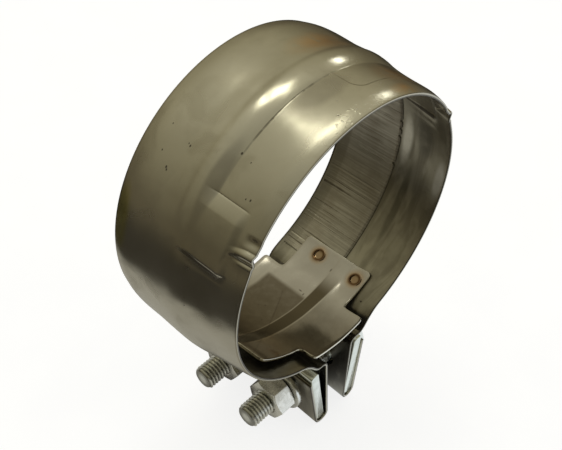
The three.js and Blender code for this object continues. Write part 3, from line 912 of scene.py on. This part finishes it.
def screw(name, xs, radius_at, y, sides=72):
    """Closed rod along X whose radius depends on place and turn."""
    turns = np.arange(sides) * 2 * math.pi / sides
    places, around = np.meshgrid(xs, turns, indexing="ij")
    radius = radius_at(places, around)
    rings = np.stack([places, y + radius * np.cos(around), BOLT["z"] + radius * np.sin(around)], axis=-1)
    points = [(xs[0], y, BOLT["z"]), *rings.reshape(-1, 3).tolist(), (xs[-1], y, BOLT["z"])]
    index = 1 + np.arange(len(xs) * sides).reshape(len(xs), sides)
    beyond = np.roll(index, -1, axis=1)
    faces = np.stack([index[:-1], beyond[:-1], beyond[1:], index[1:]], axis=-1).reshape(-1, 4).tolist()
    for k in range(sides):
        faces.append((0, beyond[0, k], index[0, k]))
        faces.append((len(points) - 1, index[-1, k], beyond[-1, k]))
    made = make_object(name, points, faces)
    sunk = (BOLT["radius"] - radius.ravel()) / THREAD_DEPTH
    set_point_values(made, "sunk", [0, *sunk, 0])
    return made


def hexagon(name, x0, x1, y):
    """Hexagonal prism along X with corners along Y, its corners eased and both end faces chamfered."""
    corner = HEX["across_flats"] / 2 / math.cos(math.pi / 6)
    outline = []
    for k in range(6):
        for step in (-1, 0, 1):
            turn = k * math.pi / 3 + step * math.radians(HEX["corner_half_angle"])
            radius = corner - (HEX["side_cut"] if step else HEX["corner_cut"])
            outline.append((radius * math.cos(turn), radius * math.sin(turn)))
    points = [(x, y + a, BOLT["z"] + b) for x in (x0, x1) for a, b in outline]
    count = len(outline)
    faces = [list(range(count))[::-1], list(range(count, 2 * count))]
    faces += [(k, (k + 1) % count, count + (k + 1) % count, count + k) for k in range(count)]
    made = make_object(name, points, faces)
    face = HEX["across_flats"] / 2 - HEX["face_inset"]
    rim = corner + HEX["rim_beyond_corner"]
    slope = (rim - face) * math.tan(math.radians(HEX["chamfer_angle"]))
    profile = [(x0, 0), (x0, face), (x0 + slope, rim), (x1 - slope, rim), (x1, face), (x1, 0)]
    return boolean(made, spin("cone", profile, 120, y, BOLT["z"]), "INTERSECT")


def make_bolt(place, y, material):
    head_start = HEAD_SEAT_X + WASHER["thickness"] + FIT_GAP
    thread_end = BOLT["thread_to"]
    threaded = np.arange(BOLT["end_x"], thread_end, THREAD_PITCH / THREAD_STEPS)
    shank = [thread_end, thread_end + BOLT["run_out"], head_start + BOLT["into_head"]]

    def radius_at(x, turn):
        smooth_radius = BOLT["radius"] - BOLT["shank_less"]
        radius = np.where(x < thread_end, thread_radius(x, turn), smooth_radius)
        cone = BOLT["radius"] - BOLT["chamfer"] + (x - BOLT["end_x"])
        return np.minimum(radius, cone)

    made = screw(f"{place}_bolt", np.concatenate([threaded, shank]), radius_at, y)
    head = hexagon("head", head_start, head_start + HEAD_THICKNESS, y)
    boolean(made, head, "UNION")
    shade(made, 32)
    finish_piece(made, material, "bolt_steel", f"bolt_{place}")
    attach(made, "right_half")
    return made


def make_nut(place, y, material):
    face = NUT_SEAT_X - WASHER["thickness"] - FIT_GAP
    back = face - NUT_THICKNESS
    made = hexagon(f"{place}_nut", back, face, y)
    start = back - NUT_BORE["start_before"]
    end = face + NUT_BORE["end_beyond"]
    xs = np.arange(start, end, THREAD_PITCH / THREAD_STEPS)

    def radius_at(x, turn):
        thread = np.maximum(thread_radius(x, turn) + THREAD_CLEARANCE, BOLT["radius"] + NUT_BORE["least"])
        widest = BOLT["radius"] + NUT_BORE["mouth"]
        mouth = widest - np.minimum(x - back, face - x)
        return np.maximum(thread, np.minimum(mouth, widest))

    boolean(made, screw("tap", xs, radius_at, y), "DIFFERENCE")
    shade(made, 32)
    finish_piece(made, material, "nut_steel", f"nut_{place}")
    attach(made, f"{place}_nut")
    return made


def make_washer(name, x, y, material, node, body):
    corner = WASHER["corner"]
    inner = WASHER["inner"]
    outer = WASHER["outer"]
    x1 = x + WASHER["thickness"]
    outline = []
    for centre_x, centre_r, start in (
        (x1 - corner, outer - corner, 0), (x + corner, outer - corner, 90),
        (x + corner, inner + corner, 180), (x1 - corner, inner + corner, 270),
    ):
        for turn in np.radians(start + np.linspace(0, 90, 4)):
            outline.append((centre_x + corner * math.cos(turn), centre_r + corner * math.sin(turn)))
    made = spin_ring(name, outline, 96, y, BOLT["z"])
    shade(made)
    finish_piece(made, material, "washer_steel", node)
    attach(made, body)
    return made


# ---------------------------------------------------------------- materials


class Nodes:
    """Nodes put together in one tree."""

    def __init__(self, tree):
        self.tree = tree

    def node(self, kind, inputs=None, **settings):
        made = self.tree.nodes.new(kind)
        for key, value in settings.items():
            setattr(made, key, value)
        for key, value in (inputs or {}).items():
            self.feed(made.inputs[key], value)
        return made

    def feed(self, socket, value):
        if isinstance(value, bpy.types.NodeSocket):
            self.tree.links.new(value, socket)
        elif socket.type == "RGBA":
            socket.default_value = (*value, 1)
        else:
            socket.default_value = value

    def math(self, operation, a, b=0.0, clamp=False):
        return self.node("ShaderNodeMath", {0: a, 1: b}, operation=operation, use_clamp=clamp).outputs[0]

    def times(self, first, *others):
        for other in others:
            first = self.math("MULTIPLY", first, other)
        return first

    def plus(self, a, b, clamp=False):
        return self.math("ADD", a, b, clamp)

    def minus(self, a, b):
        return self.math("SUBTRACT", a, b)

    def larger(self, a, b):
        return self.math("MAXIMUM", a, b)

    def off(self, a, b):
        """How far apart two numbers are."""
        return self.math("ABSOLUTE", self.minus(a, b))

    def vector(self, operation, a, b=(0, 0, 0), output=0):
        """Vector arithmetic. The output called Value is a number, and output 0 a vector."""
        return self.node("ShaderNodeVectorMath", {0: a, 1: b}, operation=operation).outputs[output]

    def remap(self, value, low, high, to_low=0.0, to_high=1.0):
        """A smooth change between two values."""
        inputs = {0: value, 1: low, 2: high, 3: to_low, 4: to_high}
        return self.node("ShaderNodeMapRange", inputs, interpolation_type="SMOOTHSTEP").outputs[0]

    def fade(self, value, low, high):
        """1 below low and 0 above high."""
        return self.remap(value, low, high, 1.0, 0.0)

    def mix(self, share, a, b):
        """Colour a to colour b by share."""
        return self.node("ShaderNodeMix", {0: share, 6: a, 7: b}, data_type="RGBA").outputs[2]

    def tint(self, colour, tone, *shares):
        """A colour taken towards a tone by the product of the shares."""
        return self.mix(self.times(*shares), colour, tone)


class Shader(Nodes):
    """A node material being put together round one Principled shader."""

    def __init__(self, name, metallic=1.0):
        self.material = bpy.data.materials.new(name)
        self.material.use_nodes = True
        super().__init__(self.material.node_tree)
        self.surface = next(n for n in self.tree.nodes if n.type == "BSDF_PRINCIPLED")
        self.surface.inputs["Metallic"].default_value = metallic

    def sheet_place(self, along=1.0, across=1.0):
        """Place on the flat sheet, in metres times a stretch along and across it."""
        where = self.node("ShaderNodeUVMap", uv_map="sheet").outputs[0]
        return self.vector("MULTIPLY", where, (along, across, 1))

    def along_and_across(self):
        """The two numbers of the place on the flat sheet, in metres."""
        return self.node("ShaderNodeSeparateXYZ", {0: self.sheet_place()}).outputs[:2]

    def solid_place(self, x=1.0, y=1.0, z=1.0):
        """Place in the part's own frame, in metres times a stretch in each direction."""
        where = self.node("ShaderNodeTexCoord").outputs["Object"]
        return self.vector("MULTIPLY", where, (x, y, z))

    def noise(self, place, scale, detail=3.0, roughness=0.5, distortion=0.0):
        inputs = {
            "Vector": place, "Scale": scale, "Detail": detail,
            "Roughness": roughness, "Distortion": distortion,
        }
        return self.node("ShaderNodeTexNoise", inputs).outputs[0]

    def value(self, name):
        return self.node("ShaderNodeAttribute", attribute_name=name).outputs["Fac"]

    def patch(self, place, centre, size, softness=1.0):
        """1 inside an oval patch of the place, fading to 0 at its size."""
        away = self.vector("SUBTRACT", place, (*centre, 0))
        scaled = self.vector("MULTIPLY", away, (1 / size[0], 1 / size[1], 0))
        return self.fade(self.vector("LENGTH", scaled, output="Value"), 1 - softness, 1.0)

    def bump(self, height, distance, strength=1.0, before=None):
        inputs = {"Strength": strength, "Distance": distance, "Height": height}
        if before is not None:
            inputs["Normal"] = before
        return self.node("ShaderNodeBump", inputs).outputs[0]

    def specks(self, place, scale, size, share):
        """Small round spots at some of the cells of a scattered pattern."""
        cell = self.node("ShaderNodeTexVoronoi", {"Vector": place, "Scale": scale})
        chosen = self.node("ShaderNodeSeparateColor", {0: cell.outputs["Color"]}).outputs[0]
        spot = self.fade(cell.outputs["Distance"], size * 0.5, size)
        return self.times(spot, self.math("LESS_THAN", chosen, share))

    def finish(self, colour, roughness, normal=None):
        self.feed(self.surface.inputs["Base Color"], colour)
        self.feed(self.surface.inputs["Roughness"], roughness)
        if normal is not None:
            self.feed(self.surface.inputs["Normal"], normal)
        return self.material


def outer_band_colour(s, place, broad, mid, smudge):
    """Grey-brown steel with smudges, heat tints and patches, most of them painted reflection and shade."""
    colour = s.mix(s.remap(broad, 0.3, 0.7), BAND_TONES["dark"], BAND_TONES["light"])
    colour = s.tint(colour, BAND_TONES["smudge"], smudge, 0.42)
    colour = s.tint(colour, BAND_TONES["mottle"], s.remap(mid, 0.5, 0.75), 0.12)
    for centre, size in BAND_TINTS:
        patch = s.patch(place, centre, size)
        colour = s.tint(colour, BAND_TONES["heat"], patch, s.remap(mid, 0.2, 0.55), 0.9)
    # Patches of painted reflection and painted shade, and one yellow-green tint
    for centre, size, tone in OUTER_PATCHES:
        patch = s.patch(place, centre, size, 0.5)
        colour = s.tint(colour, tone, patch, s.remap(mid, 0.2, 0.6, 0.7, 0.9))
    return colour


def inner_band_colour(s, place):
    """The inside is duller, with streaks along the sheet."""
    streaks = s.remap(s.noise(s.sheet_place(34, 130), 1, 3, 0.55, 0.8), 0.38, 0.62)
    blotches = s.remap(s.noise(place, 70, 3, 0.6), 0.4, 0.65)
    dull = s.mix(streaks, BAND_TONES["streak"], BAND_TONES["inside"])
    return s.tint(dull, BAND_TONES["blotch"], blotches, 0.5)


def crease_shade(s, place, mid, inner):
    """Painted shade lies in the fine crease at the foot of the step, on the outside."""
    _, across = s.along_and_across()
    line = s.fade(s.off(across, CREASE_ACROSS), 0.0002, 0.0005)
    stretch = s.patch(place, *CREASE_PATCH, 0.7)
    return s.times(line, s.minus(1.0, inner), stretch, s.remap(mid, 0.4, 0.6, 0.35, 1.0))


def dark_corner_line(s, place):
    """A faint dark line, painted on, turns a rounded corner on the near side of the top."""
    past_corner = s.vector("MINIMUM", s.vector("SUBTRACT", place, DARK_CORNER_LINE["corner"]))
    off_line = s.off(s.vector("LENGTH", past_corner, output="Value"), DARK_CORNER_LINE["radius"])
    return s.times(s.fade(off_line, 0.00015, 0.0004), s.patch(place, *DARK_CORNER_PATCH, 0.5))


def foot_line(s):
    """A dark line lies along the foot of each pad."""
    along, across = s.along_and_across()
    foot = s.minus(FOOT_LINE["along"], s.times(s.plus(across, FOOT_LINE["middle"]), FOOT_LINE["slope"]))
    line = s.fade(s.off(s.math("ABSOLUTE", along), foot), 0.0005, 0.0009)
    return s.times(line, s.remap(across, -0.0225, -0.0205), s.fade(across, -0.006, -0.001))


def band_marks(s, place, pits):
    """Pits, dust, single dark marks and the line at each pad's foot."""
    marks = s.larger(pits, s.times(s.specks(place, 420, 0.11, 0.05), 0.5))
    for centre, radius in BAND_MARKS:
        marks = s.larger(marks, s.patch(place, centre, (radius * 1.5, radius), 0.6))
    return s.larger(marks, s.times(foot_line(s), 0.9))


def band_roughness(s, place, broad, smudge, inner, marks):
    """Duller inside, on smudges, where it was handled and on marks."""
    roughness = s.remap(broad, 0.25, 0.75, 0.17, 0.23)
    handled = s.patch(place, *HANDLED_PATCH, 0.7)
    for share, added in ((inner, 0.1), (smudge, 0.07), (handled, 0.07)):
        roughness = s.plus(roughness, s.times(share, added))
    return s.plus(roughness, s.times(marks, 0.3), clamp=True)


def band_relief(s, place, broad, mid, pits):
    """Rolling marks, pits, waves from handling on the lower left and small dents along the near rim."""
    rolled = s.noise(s.sheet_place(60, 1100), 1, 2, 0.5)
    waves = s.times(s.noise(place, 42, 1, 0.4), s.patch(place, *WAVY_PATCH, 0.6))
    dents = s.times(s.remap(s.noise(place, 620, 2, 0.6), 0.56, 0.7), s.patch(place, *RIM_DENT_PATCH, 0.6))
    normal = None
    for height, distance, strength in (
        (broad, 0.0008, 0.3), (mid, 0.00006, 0.25), (rolled, 0.000004, 0.3),
        (s.minus(1.0, pits), 0.0001, 0.7), (waves, 0.0022, 0.6), (dents, 0.00012, 0.6),
    ):
        normal = s.bump(height, distance, strength, normal)
    return normal


def steel_of_band():
    s = Shader("rolled_stainless")
    place = s.sheet_place()
    broad = s.noise(place, 22, 3, 0.5, 0.5)
    mid = s.noise(place, 150, 4, 0.6)
    smudge = s.remap(s.noise(place, 55, 3, 0.5, 0.8), 0.48, 0.68)
    inner = s.value("inner")
    pits = s.specks(place, 95, 0.055, 0.16)
    marks = band_marks(s, place, pits)
    colour = outer_band_colour(s, place, broad, mid, smudge)
    colour = s.mix(s.times(inner, 0.85), colour, inner_band_colour(s, place))
    # Painted shade in the fine crease of the step
    colour = s.tint(colour, BAND_TONES["crease"], crease_shade(s, place, mid, inner), 0.8)
    # A faint dark line painted on near the top
    colour = s.tint(colour, BAND_TONES["corner_line"], dark_corner_line(s, place), s.remap(mid, 0.35, 0.6, 0.3, 0.75))
    # Patches of painted reflection and painted shade on the inside
    for centre, size, tone in INNER_PATCHES:
        patch = s.patch(place, centre, size, 0.6)
        colour = s.tint(colour, tone, patch, inner, s.remap(mid, 0.2, 0.6, 0.5, 0.9))
    # Cut edges are bright at the outer corner and painted dark at the inner one, a painted shade line inside
    # the rim.
    cut = s.mix(s.remap(inner, 0.3, 0.62), BAND_TONES["outer_corner"], BAND_TONES["inner_corner"])
    colour = s.mix(s.remap(s.value("edge"), 0.4, 0.9), colour, cut)
    colour = s.tint(colour, BAND_TONES["mark"], marks, 0.85)
    roughness = band_roughness(s, place, broad, smudge, inner, marks)
    return s.finish(colour, roughness, band_relief(s, place, broad, mid, pits))


def steel_of_liner():
    s = Shader("ribbed_strip")
    place = s.sheet_place()
    _, across = s.along_and_across()
    ribs = s.noise(s.sheet_place(900, 25), 1, 3, 0.6)
    scores = s.noise(s.sheet_place(620, 9), 1, 4, 0.7)
    fine = s.noise(s.sheet_place(2600, 60), 1, 2, 0.5)
    broad = s.noise(place, 60, 3, 0.6)
    # The colour follows the ribs, lighter on their crests and darker in their troughs, partly painted rib
    # shading
    colour = s.mix(s.remap(ribs, 0.3, 0.7), LINER_TONES["dark"], LINER_TONES["light"])
    colour = s.tint(colour, LINER_TONES["stain"], s.remap(broad, 0.35, 0.7), 0.5)
    colour = s.mix(s.remap(across, 0.0238, 0.0252, 0.0, 0.6), colour, LINER_TONES["far_edge"])
    dark_lines = s.times(s.remap(scores, 0.56, 0.64), s.remap(broad, 0.3, 0.6, 0.15, 1.0))
    colour = s.tint(colour, LINER_TONES["score"], dark_lines, 0.8)
    roughness = s.remap(fine, 0.3, 0.7, 0.34, 0.5)
    normal = s.bump(ribs, 0.0001, 0.5)
    normal = s.bump(fine, 0.00004, 0.5, normal)
    normal = s.bump(s.minus(1.0, dark_lines), 0.0001, 0.5, normal)
    return s.finish(colour, roughness, normal)


def free_end_brown(s, place, along):
    """The free end is brown from handling."""
    blotches = s.remap(s.noise(place, 70, 3, 0.6), 0.25, 0.6, 0.45, 1.0)
    return s.times(s.fade(along, -0.030, -0.004), blotches)


def ramp_shade(s, along, across):
    """The middle ramp is darker than the faces beside it, as far as it runs."""
    line = s.times(s.remap(across, -0.0092, -0.0086), s.fade(across, -0.0023, -0.0017))
    return s.times(line, s.fade(along, 0.014, 0.028))


def tongue_painted_reflection(s, along, across, mid):
    """Painted reflection: the faces beside the ramp are darkened, less on the near one."""
    far = s.times(s.fade(along, 0.0066, 0.0094), s.remap(across, -0.0020, -0.0012))
    far = s.times(far, s.fade(across, 0.0214, 0.0238))
    near = s.times(s.fade(along, 0.004, 0.020), s.fade(across, -0.0100, -0.0090))
    return s.times(s.larger(far, s.times(near, 0.65)), s.remap(mid, 0.2, 0.6, 0.75, 0.9))


def weld_tints(s, place, colour):
    """Heat rings round each spot weld, the widest one ragged."""
    for angle, y in WELD_SPOTS:
        centre = (math.radians(angle) * TONGUE["map_radius"] * MM, y * MM)
        ragged = s.remap(s.noise(place, 900, 3, 0.7), 0.3, 0.6, 0.7, 1.0)
        for k, (radius, softness, strength, tone) in enumerate(WELD_TINTS):
            ring = s.patch(place, centre, (radius, radius), softness)
            if k == 0:
                ring = s.times(ring, ragged)
            colour = s.tint(colour, tone, ring, strength)
    return colour


def long_scratch(s, along, across, mid):
    """A long scratch runs across the ramp to the free end."""
    bow = s.times(along, along, TONGUE_SCRATCH["bow"])
    line = s.plus(s.times(along, TONGUE_SCRATCH["slope"]), TONGUE_SCRATCH["across"])
    off_scratch = s.off(across, s.plus(line, bow))
    scratch = s.times(s.fade(off_scratch, 0.0001, 0.00045), s.fade(along, 0.003, 0.006))
    return s.times(scratch, s.remap(mid, 0.3, 0.6, 0.25, 0.6))


def steel_of_tongue():
    s = Shader("tongue_stainless")
    place = s.sheet_place()
    along, across = s.along_and_across()
    broad = s.noise(place, 40, 3, 0.55, 0.5)
    mid = s.noise(place, 240, 3, 0.6)
    rolled = s.noise(s.sheet_place(50, 1300), 1, 2, 0.5)
    colour = s.mix(s.remap(broad, 0.3, 0.7), TONGUE_TONES["dark"], TONGUE_TONES["light"])
    colour = s.tint(colour, TONGUE_TONES["mottle"], s.remap(mid, 0.5, 0.8), 0.2)
    colour = s.tint(colour, TONGUE_TONES["brown"], free_end_brown(s, place, along), 0.62)
    colour = s.tint(colour, TONGUE_TONES["ramp"], ramp_shade(s, along, across), 0.93)
    # Painted reflection darkens the faces beside the ramp
    colour = s.tint(colour, TONGUE_TONES["painted_reflection"], tongue_painted_reflection(s, along, across, mid))
    colour = weld_tints(s, place, colour)
    # Painted highlight: the tongue's rounded rim is made lighter than its faces
    colour = s.mix(s.remap(s.value("edge"), 0.4, 0.9), colour, TONGUE_TONES["edge"])
    marks = s.specks(place, 120, 0.06, 0.12)
    for centre, size in TONGUE_MARKS:
        marks = s.larger(marks, s.patch(place, centre, size, 0.6))
    marks = s.larger(marks, long_scratch(s, along, across, mid))
    colour = s.tint(colour, TONGUE_TONES["mark"], marks, 0.8)
    roughness = s.remap(broad, 0.25, 0.75, 0.12, 0.18)
    roughness = s.plus(roughness, s.remap(rolled, 0.3, 0.7, -0.01, 0.02))
    normal = s.bump(broad, 0.0005, 0.25)
    normal = s.bump(rolled, 0.000003, 0.2, normal)
    return s.finish(colour, roughness, normal)


def zinc(use, threaded=False):
    light, dark, roughness_range, spangle = ZINC[use]
    s = Shader(f"zinc_on_{use}")
    place = s.solid_place()
    broad = s.noise(place, 160, 3, 0.6)
    cells = s.node("ShaderNodeTexVoronoi", {"Vector": place, "Scale": spangle}).outputs["Color"]
    shade_of_cell = s.node("ShaderNodeSeparateColor", {0: cells}).outputs[1]
    colour = s.mix(s.remap(broad, 0.3, 0.6), dark, light)
    colour = s.tint(colour, ZINC_TONES["spangle"], shade_of_cell, 0.12)
    colour = s.tint(colour, ZINC_TONES["grime"], s.remap(s.noise(place, 420, 4, 0.65), 0.62, 0.8), 0.3)
    if threaded:
        # Painted shade darkens the roots of the thread
        colour = s.tint(colour, ZINC_TONES["root_shade"], s.remap(s.value("sunk"), 0.25, 0.95), 0.75)
    roughness = s.remap(shade_of_cell, 0, 1, *roughness_range)
    normal = s.bump(broad, 0.0001, 0.25)
    normal = s.bump(s.noise(place, 1800, 2, 0.5), 0.00002, 0.4, normal)
    return s.finish(colour, roughness, normal)


def reflected_table(s, place):
    """What reflections see of the floor: a small pale table with a painted shadow under the part, and a dim
    room beyond.
    """
    away = s.vector("NORMALIZE", s.solid_place(1, 1, 0))
    towards = s.vector("DOT_PRODUCT", away, TABLE_FRONT["side"], "Value")
    front = s.remap(towards, TABLE_FRONT["from"], TABLE_FRONT["to"])
    seen = s.mix(front, TABLE_TONE, TABLE_FRONT["tone"])
    # Painted shadow on the table under the part
    under = s.patch(place, SHADOW_UNDER_PART["centre"], SHADOW_UNDER_PART["size"], SHADOW_UNDER_PART["softness"])
    seen = s.mix(under, seen, SHADOW_UNDER_PART["tone"])
    distance = s.vector("LENGTH", place, output="Value")
    beyond = s.times(s.remap(distance, *TABLE_EDGE), s.minus(1.0, front))
    dim = s.mix(s.remap(distance, FAR_FLOOR["from"], FAR_FLOOR["to"]), DIM_ROOM_TONE, FAR_FLOOR["tone"])
    return s.mix(beyond, seen, dim)


def floor_paper():
    """Pale floor that glows a little. Only reflections see the table."""
    s = Shader("pale_paper", metallic=0.0)
    place = s.solid_place()
    tone = s.remap(s.noise(place, 30, 3, 0.5), 0.3, 0.7)
    s.finish(s.mix(tone, *PAPER_TONES), 0.8)
    glow = s.node("ShaderNodeEmission", {"Color": (1.0, 1.0, 1.0), "Strength": 0.8})
    paper = s.node("ShaderNodeAddShader", {0: s.surface.outputs[0], 1: glow.outputs[0]})
    table = s.node("ShaderNodeEmission", {"Color": reflected_table(s, place), "Strength": 1.0})
    is_reflection = s.node("ShaderNodeLightPath").outputs["Is Glossy Ray"]
    mixed = s.node("ShaderNodeMixShader", {0: is_reflection, 1: paper.outputs[0], 2: table.outputs[0]})
    output = next(n for n in s.tree.nodes if n.type == "OUTPUT_MATERIAL")
    s.feed(output.inputs["Surface"], mixed.outputs[0])
    return s.material


# ---------------------------------------------------------------- studio


def make_camera():
    right = Vector(CAMERA_RIGHT).normalized()
    back = right.cross(Vector(CAMERA_UP)).normalized()
    up = back.cross(right)
    data = bpy.data.cameras.new("camera")
    data.lens = CAMERA_LENS
    data.sensor_width = CAMERA_SENSOR
    data.clip_start = 0.01
    made = bpy.data.objects.new("camera", data)
    made.matrix_world = Matrix.Translation(CAMERA_PLACE) @ Matrix((right, up, back)).transposed().to_4x4()
    bpy.context.scene.collection.objects.link(made)
    bpy.context.scene.camera = made


def soft_light(name, place, target, size, power, colour=(1, 1, 1)):
    data = bpy.data.lights.new(name, "AREA")
    data.shape = "RECTANGLE"
    data.size, data.size_y = size
    data.energy = power
    data.color = colour
    made = bpy.data.objects.new(name, data)
    made.location = place
    made.rotation_mode = "QUATERNION"
    made.rotation_quaternion = (Vector(target) - Vector(place)).to_track_quat("-Z", "Y")
    made.visible_camera = False
    bpy.context.scene.collection.objects.link(made)
    return made


def make_floor():
    size = FLOOR_HALF_SIZE / MM
    rim = [(-size, -size), (size, -size), (size, size), (-size, size)]
    floor = make_object("floor", [(x, y, FLOOR_Z / MM) for x, y in rim], [(0, 1, 2, 3)])
    floor.data.materials.append(floor_paper())


def sky(w, direction):
    """Tone of the sky by height."""
    height = w.node("ShaderNodeSeparateXYZ", {0: direction}).outputs[2]
    made = w.node("ShaderNodeValToRGB", {0: height})
    stops = made.color_ramp.elements
    stops.remove(stops[1])
    for k, (place, tone) in enumerate(SKY_TONES):
        stop = stops[0] if k == 0 else stops.new(place)
        stop.position = place
        stop.color = (*tone, 1)
    return made.outputs[0]


def make_world():
    """Plain studio: dim at the horizon, brighter overhead and towards the window side, with a bright
    doorway. The camera sees it white."""
    world = bpy.data.worlds.new("studio")
    bpy.context.scene.world = world
    world.use_nodes = True
    w = Nodes(world.node_tree)
    w.tree.nodes.clear()
    direction = w.node("ShaderNodeTexCoord").outputs["Generated"]
    to_window = w.vector("DOT_PRODUCT", direction, WINDOW_SIDE, "Value")
    gain = {0: to_window, 1: WINDOW_GAIN, 2: 1 - WINDOW_GAIN}
    strength = w.node("ShaderNodeMath", gain, operation="MULTIPLY_ADD").outputs[0]
    to_door = w.vector("DOT_PRODUCT", direction, DOOR["side"], "Value")
    door = w.node("ShaderNodeMapRange", {0: to_door, 1: DOOR["from"], 2: DOOR["to"]}).outputs[0]
    room = w.node("ShaderNodeBackground", {0: w.mix(door, sky(w, direction), DOOR["tone"]), 1: strength})
    white = w.node("ShaderNodeBackground", {0: (1, 1, 1)})
    is_camera = w.node("ShaderNodeLightPath").outputs["Is Camera Ray"]
    mixed = w.node("ShaderNodeMixShader", {0: is_camera, 1: room.outputs[0], 2: white.outputs[0]})
    w.node("ShaderNodeOutputWorld", {0: mixed.outputs[0]})


def make_studio():
    make_floor()
    make_world()
    for name, place, size, power, colour in LAMPS:
        soft_light(name, place, (0, 0, 0), size, power, colour)
    bpy.context.scene.view_settings.view_transform = "Standard"


# ---------------------------------------------------------------- the whole clamp

make_camera()
make_studio()

make_band(steel_of_band())
make_liner(steel_of_liner())
make_tongue(steel_of_tongue())

bar_plate = zinc("bar")
make_bar("nut_side_bar", NUT_EAR, bar_plate, "bar_nut_side", "left_half")
make_bar("head_side_bar", HEAD_EAR, bar_plate, "bar_head_side", "right_half")

bolt_plate = zinc("thread", threaded=True)
nut_plate = zinc("nut")
washer_plate = zinc("washer")
nut_washer_x = NUT_SEAT_X - WASHER["thickness"]
for place, y in BOLT_PLACES.items():
    make_bolt(place, y, bolt_plate)
    make_nut(place, y, nut_plate)
    make_washer(
        f"{place}_nut_washer", nut_washer_x, y, washer_plate, f"nut_washer_{place}", f"{place}_washer"
    )
    make_washer(f"{place}_head_washer", HEAD_SEAT_X, y, washer_plate, f"head_washer_{place}", "right_half")
